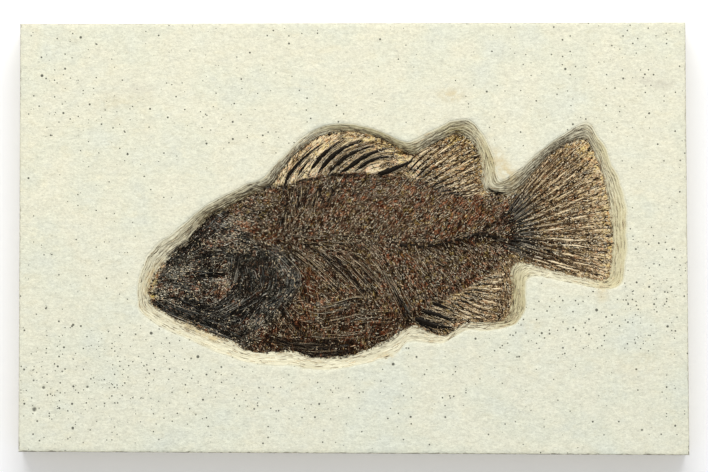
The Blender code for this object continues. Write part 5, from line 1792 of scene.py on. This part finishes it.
def buildTubes(name, groups, sides, material):
    # One mesh from groups of tubes; each group's corner numbers go on from the last group's.
    parts = [tubes(*group, sides) for group in groups]
    starts = np.cumsum([0] + [len(part[0]) for part in parts])
    quads = np.concatenate([part[1] + start for part, start in zip(parts, starts)])
    caps = np.concatenate([cap + start for part, start in zip(parts, starts) for cap in part[2]])
    values = {key: np.concatenate([part[3][key] for part in parts]) for key in parts[0][3]}
    points, uv = (np.concatenate([part[number] for part in parts]) for number in (0, 4))
    piece = makeMesh(name, points, [quads, caps], values, uv, material)
    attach(piece, "root")
    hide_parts("fossil_fish")
    print(name + ":", 2 * len(quads) + (sides - 2) * len(caps), "triangles")


def buildBones():
    # Four pieces in one material: whole bones with six sides, and slivers and fibres with three.
    material = boneMaterial()
    coarse, fine = splinterLook["strewn"]
    seed = splinterLook["seed"]
    buildTubes("fossilBones", (looseBones(), fanBones(), columnBones()), 6, material)
    buildTubes("boneSplinters", (splinters(coarse, seed), bundles(), crumbs(), shards()), 3, material)
    buildTubes("fineSplinters", (splinters(fine, seed + 9),), 3, material)
    buildTubes("boneFibres", (fibres(), grains()), 3, material)


stageLook = {
    "pictureWidth": 708,  # pixels
    "millimetresPerPixel": 0.32,
    "pictureMiddle": (0.03, 0.9),  # where the view is aimed, in millimetres on the slab's face
    "cameraHeight": 1.6,  # from here on in metres
    "sensorWidth": 36.0,
    "keyDistance": 1.5,
    "keyTurn": 42.0,
    "keyPower": 18.0,
    "worldStrength": 0.69,
    "floorReach": 3,
    "floorDrop": 0.0002,
}


def buildStage():
    # A pale floor just under the slab.
    reach = stageLook["floorReach"]
    floorMesh = bpy.data.meshes.new("floor")
    corners = [(-reach, -reach, 0), (reach, -reach, 0), (reach, reach, 0), (-reach, reach, 0)]
    floorMesh.from_pydata(corners, [], [(0, 1, 2, 3)])
    floor = linked(bpy.data.objects.new("floor", floorMesh))
    floor.location.z = -stageLook["floorDrop"]
    material, shader = newMaterial("paleFloor")
    feed(shader, {"Base Color": (0.93, 0.935, 0.95, 1.0), "Roughness": 0.8, "Specular IOR Level": 0.1})
    floorMesh.materials.append(material)


def addLight(name, where, size, power):
    # A soft panel that faces the middle of the slab.
    light = bpy.data.lights.new(name, "AREA")
    light.shape = "RECTANGLE"
    light.size, light.size_y = size
    light.energy = power
    panel = linked(bpy.data.objects.new(name, light))
    panel.location = where
    panel.rotation_euler = (-Vector(where)).to_track_quat("-Z", "Y").to_euler()


def buildLightAndCamera():
    # White light all round, one panel behind the slab, and a camera straight above it, so far off that
    # the picture's width shows its pixels times their millimetres.
    look = stageLook
    world = bpy.data.worlds.new("studio")
    bpy.context.scene.world = world
    world.use_nodes = True
    background = world.node_tree.nodes["Background"]
    feed(background, {"Color": (1.0, 1.0, 1.0, 1.0), "Strength": look["worldStrength"]})
    turn = math.radians(look["keyTurn"])
    where = (0.0, look["keyDistance"] * math.cos(turn), look["keyDistance"] * math.sin(turn))
    addLight("key", where, (1.3, 0.7), look["keyPower"])
    camera = linked(bpy.data.objects.new("camera", bpy.data.cameras.new("camera")))
    x, y = (part * mm for part in look["pictureMiddle"])
    camera.location = (x, y, look["cameraHeight"] + slabTop * mm)
    width = look["pictureWidth"] * look["millimetresPerPixel"] * mm
    camera.data.sensor_width = look["sensorWidth"]
    camera.data.lens = look["sensorWidth"] * look["cameraHeight"] / width
    camera.data.clip_start, camera.data.clip_end = 0.01, 20.0
    bpy.context.scene.camera = camera
    bpy.context.scene.view_settings.view_transform = "Standard"


buildLimestone()
buildSkin()
buildBones()
buildStage()
buildLightAndCamera()
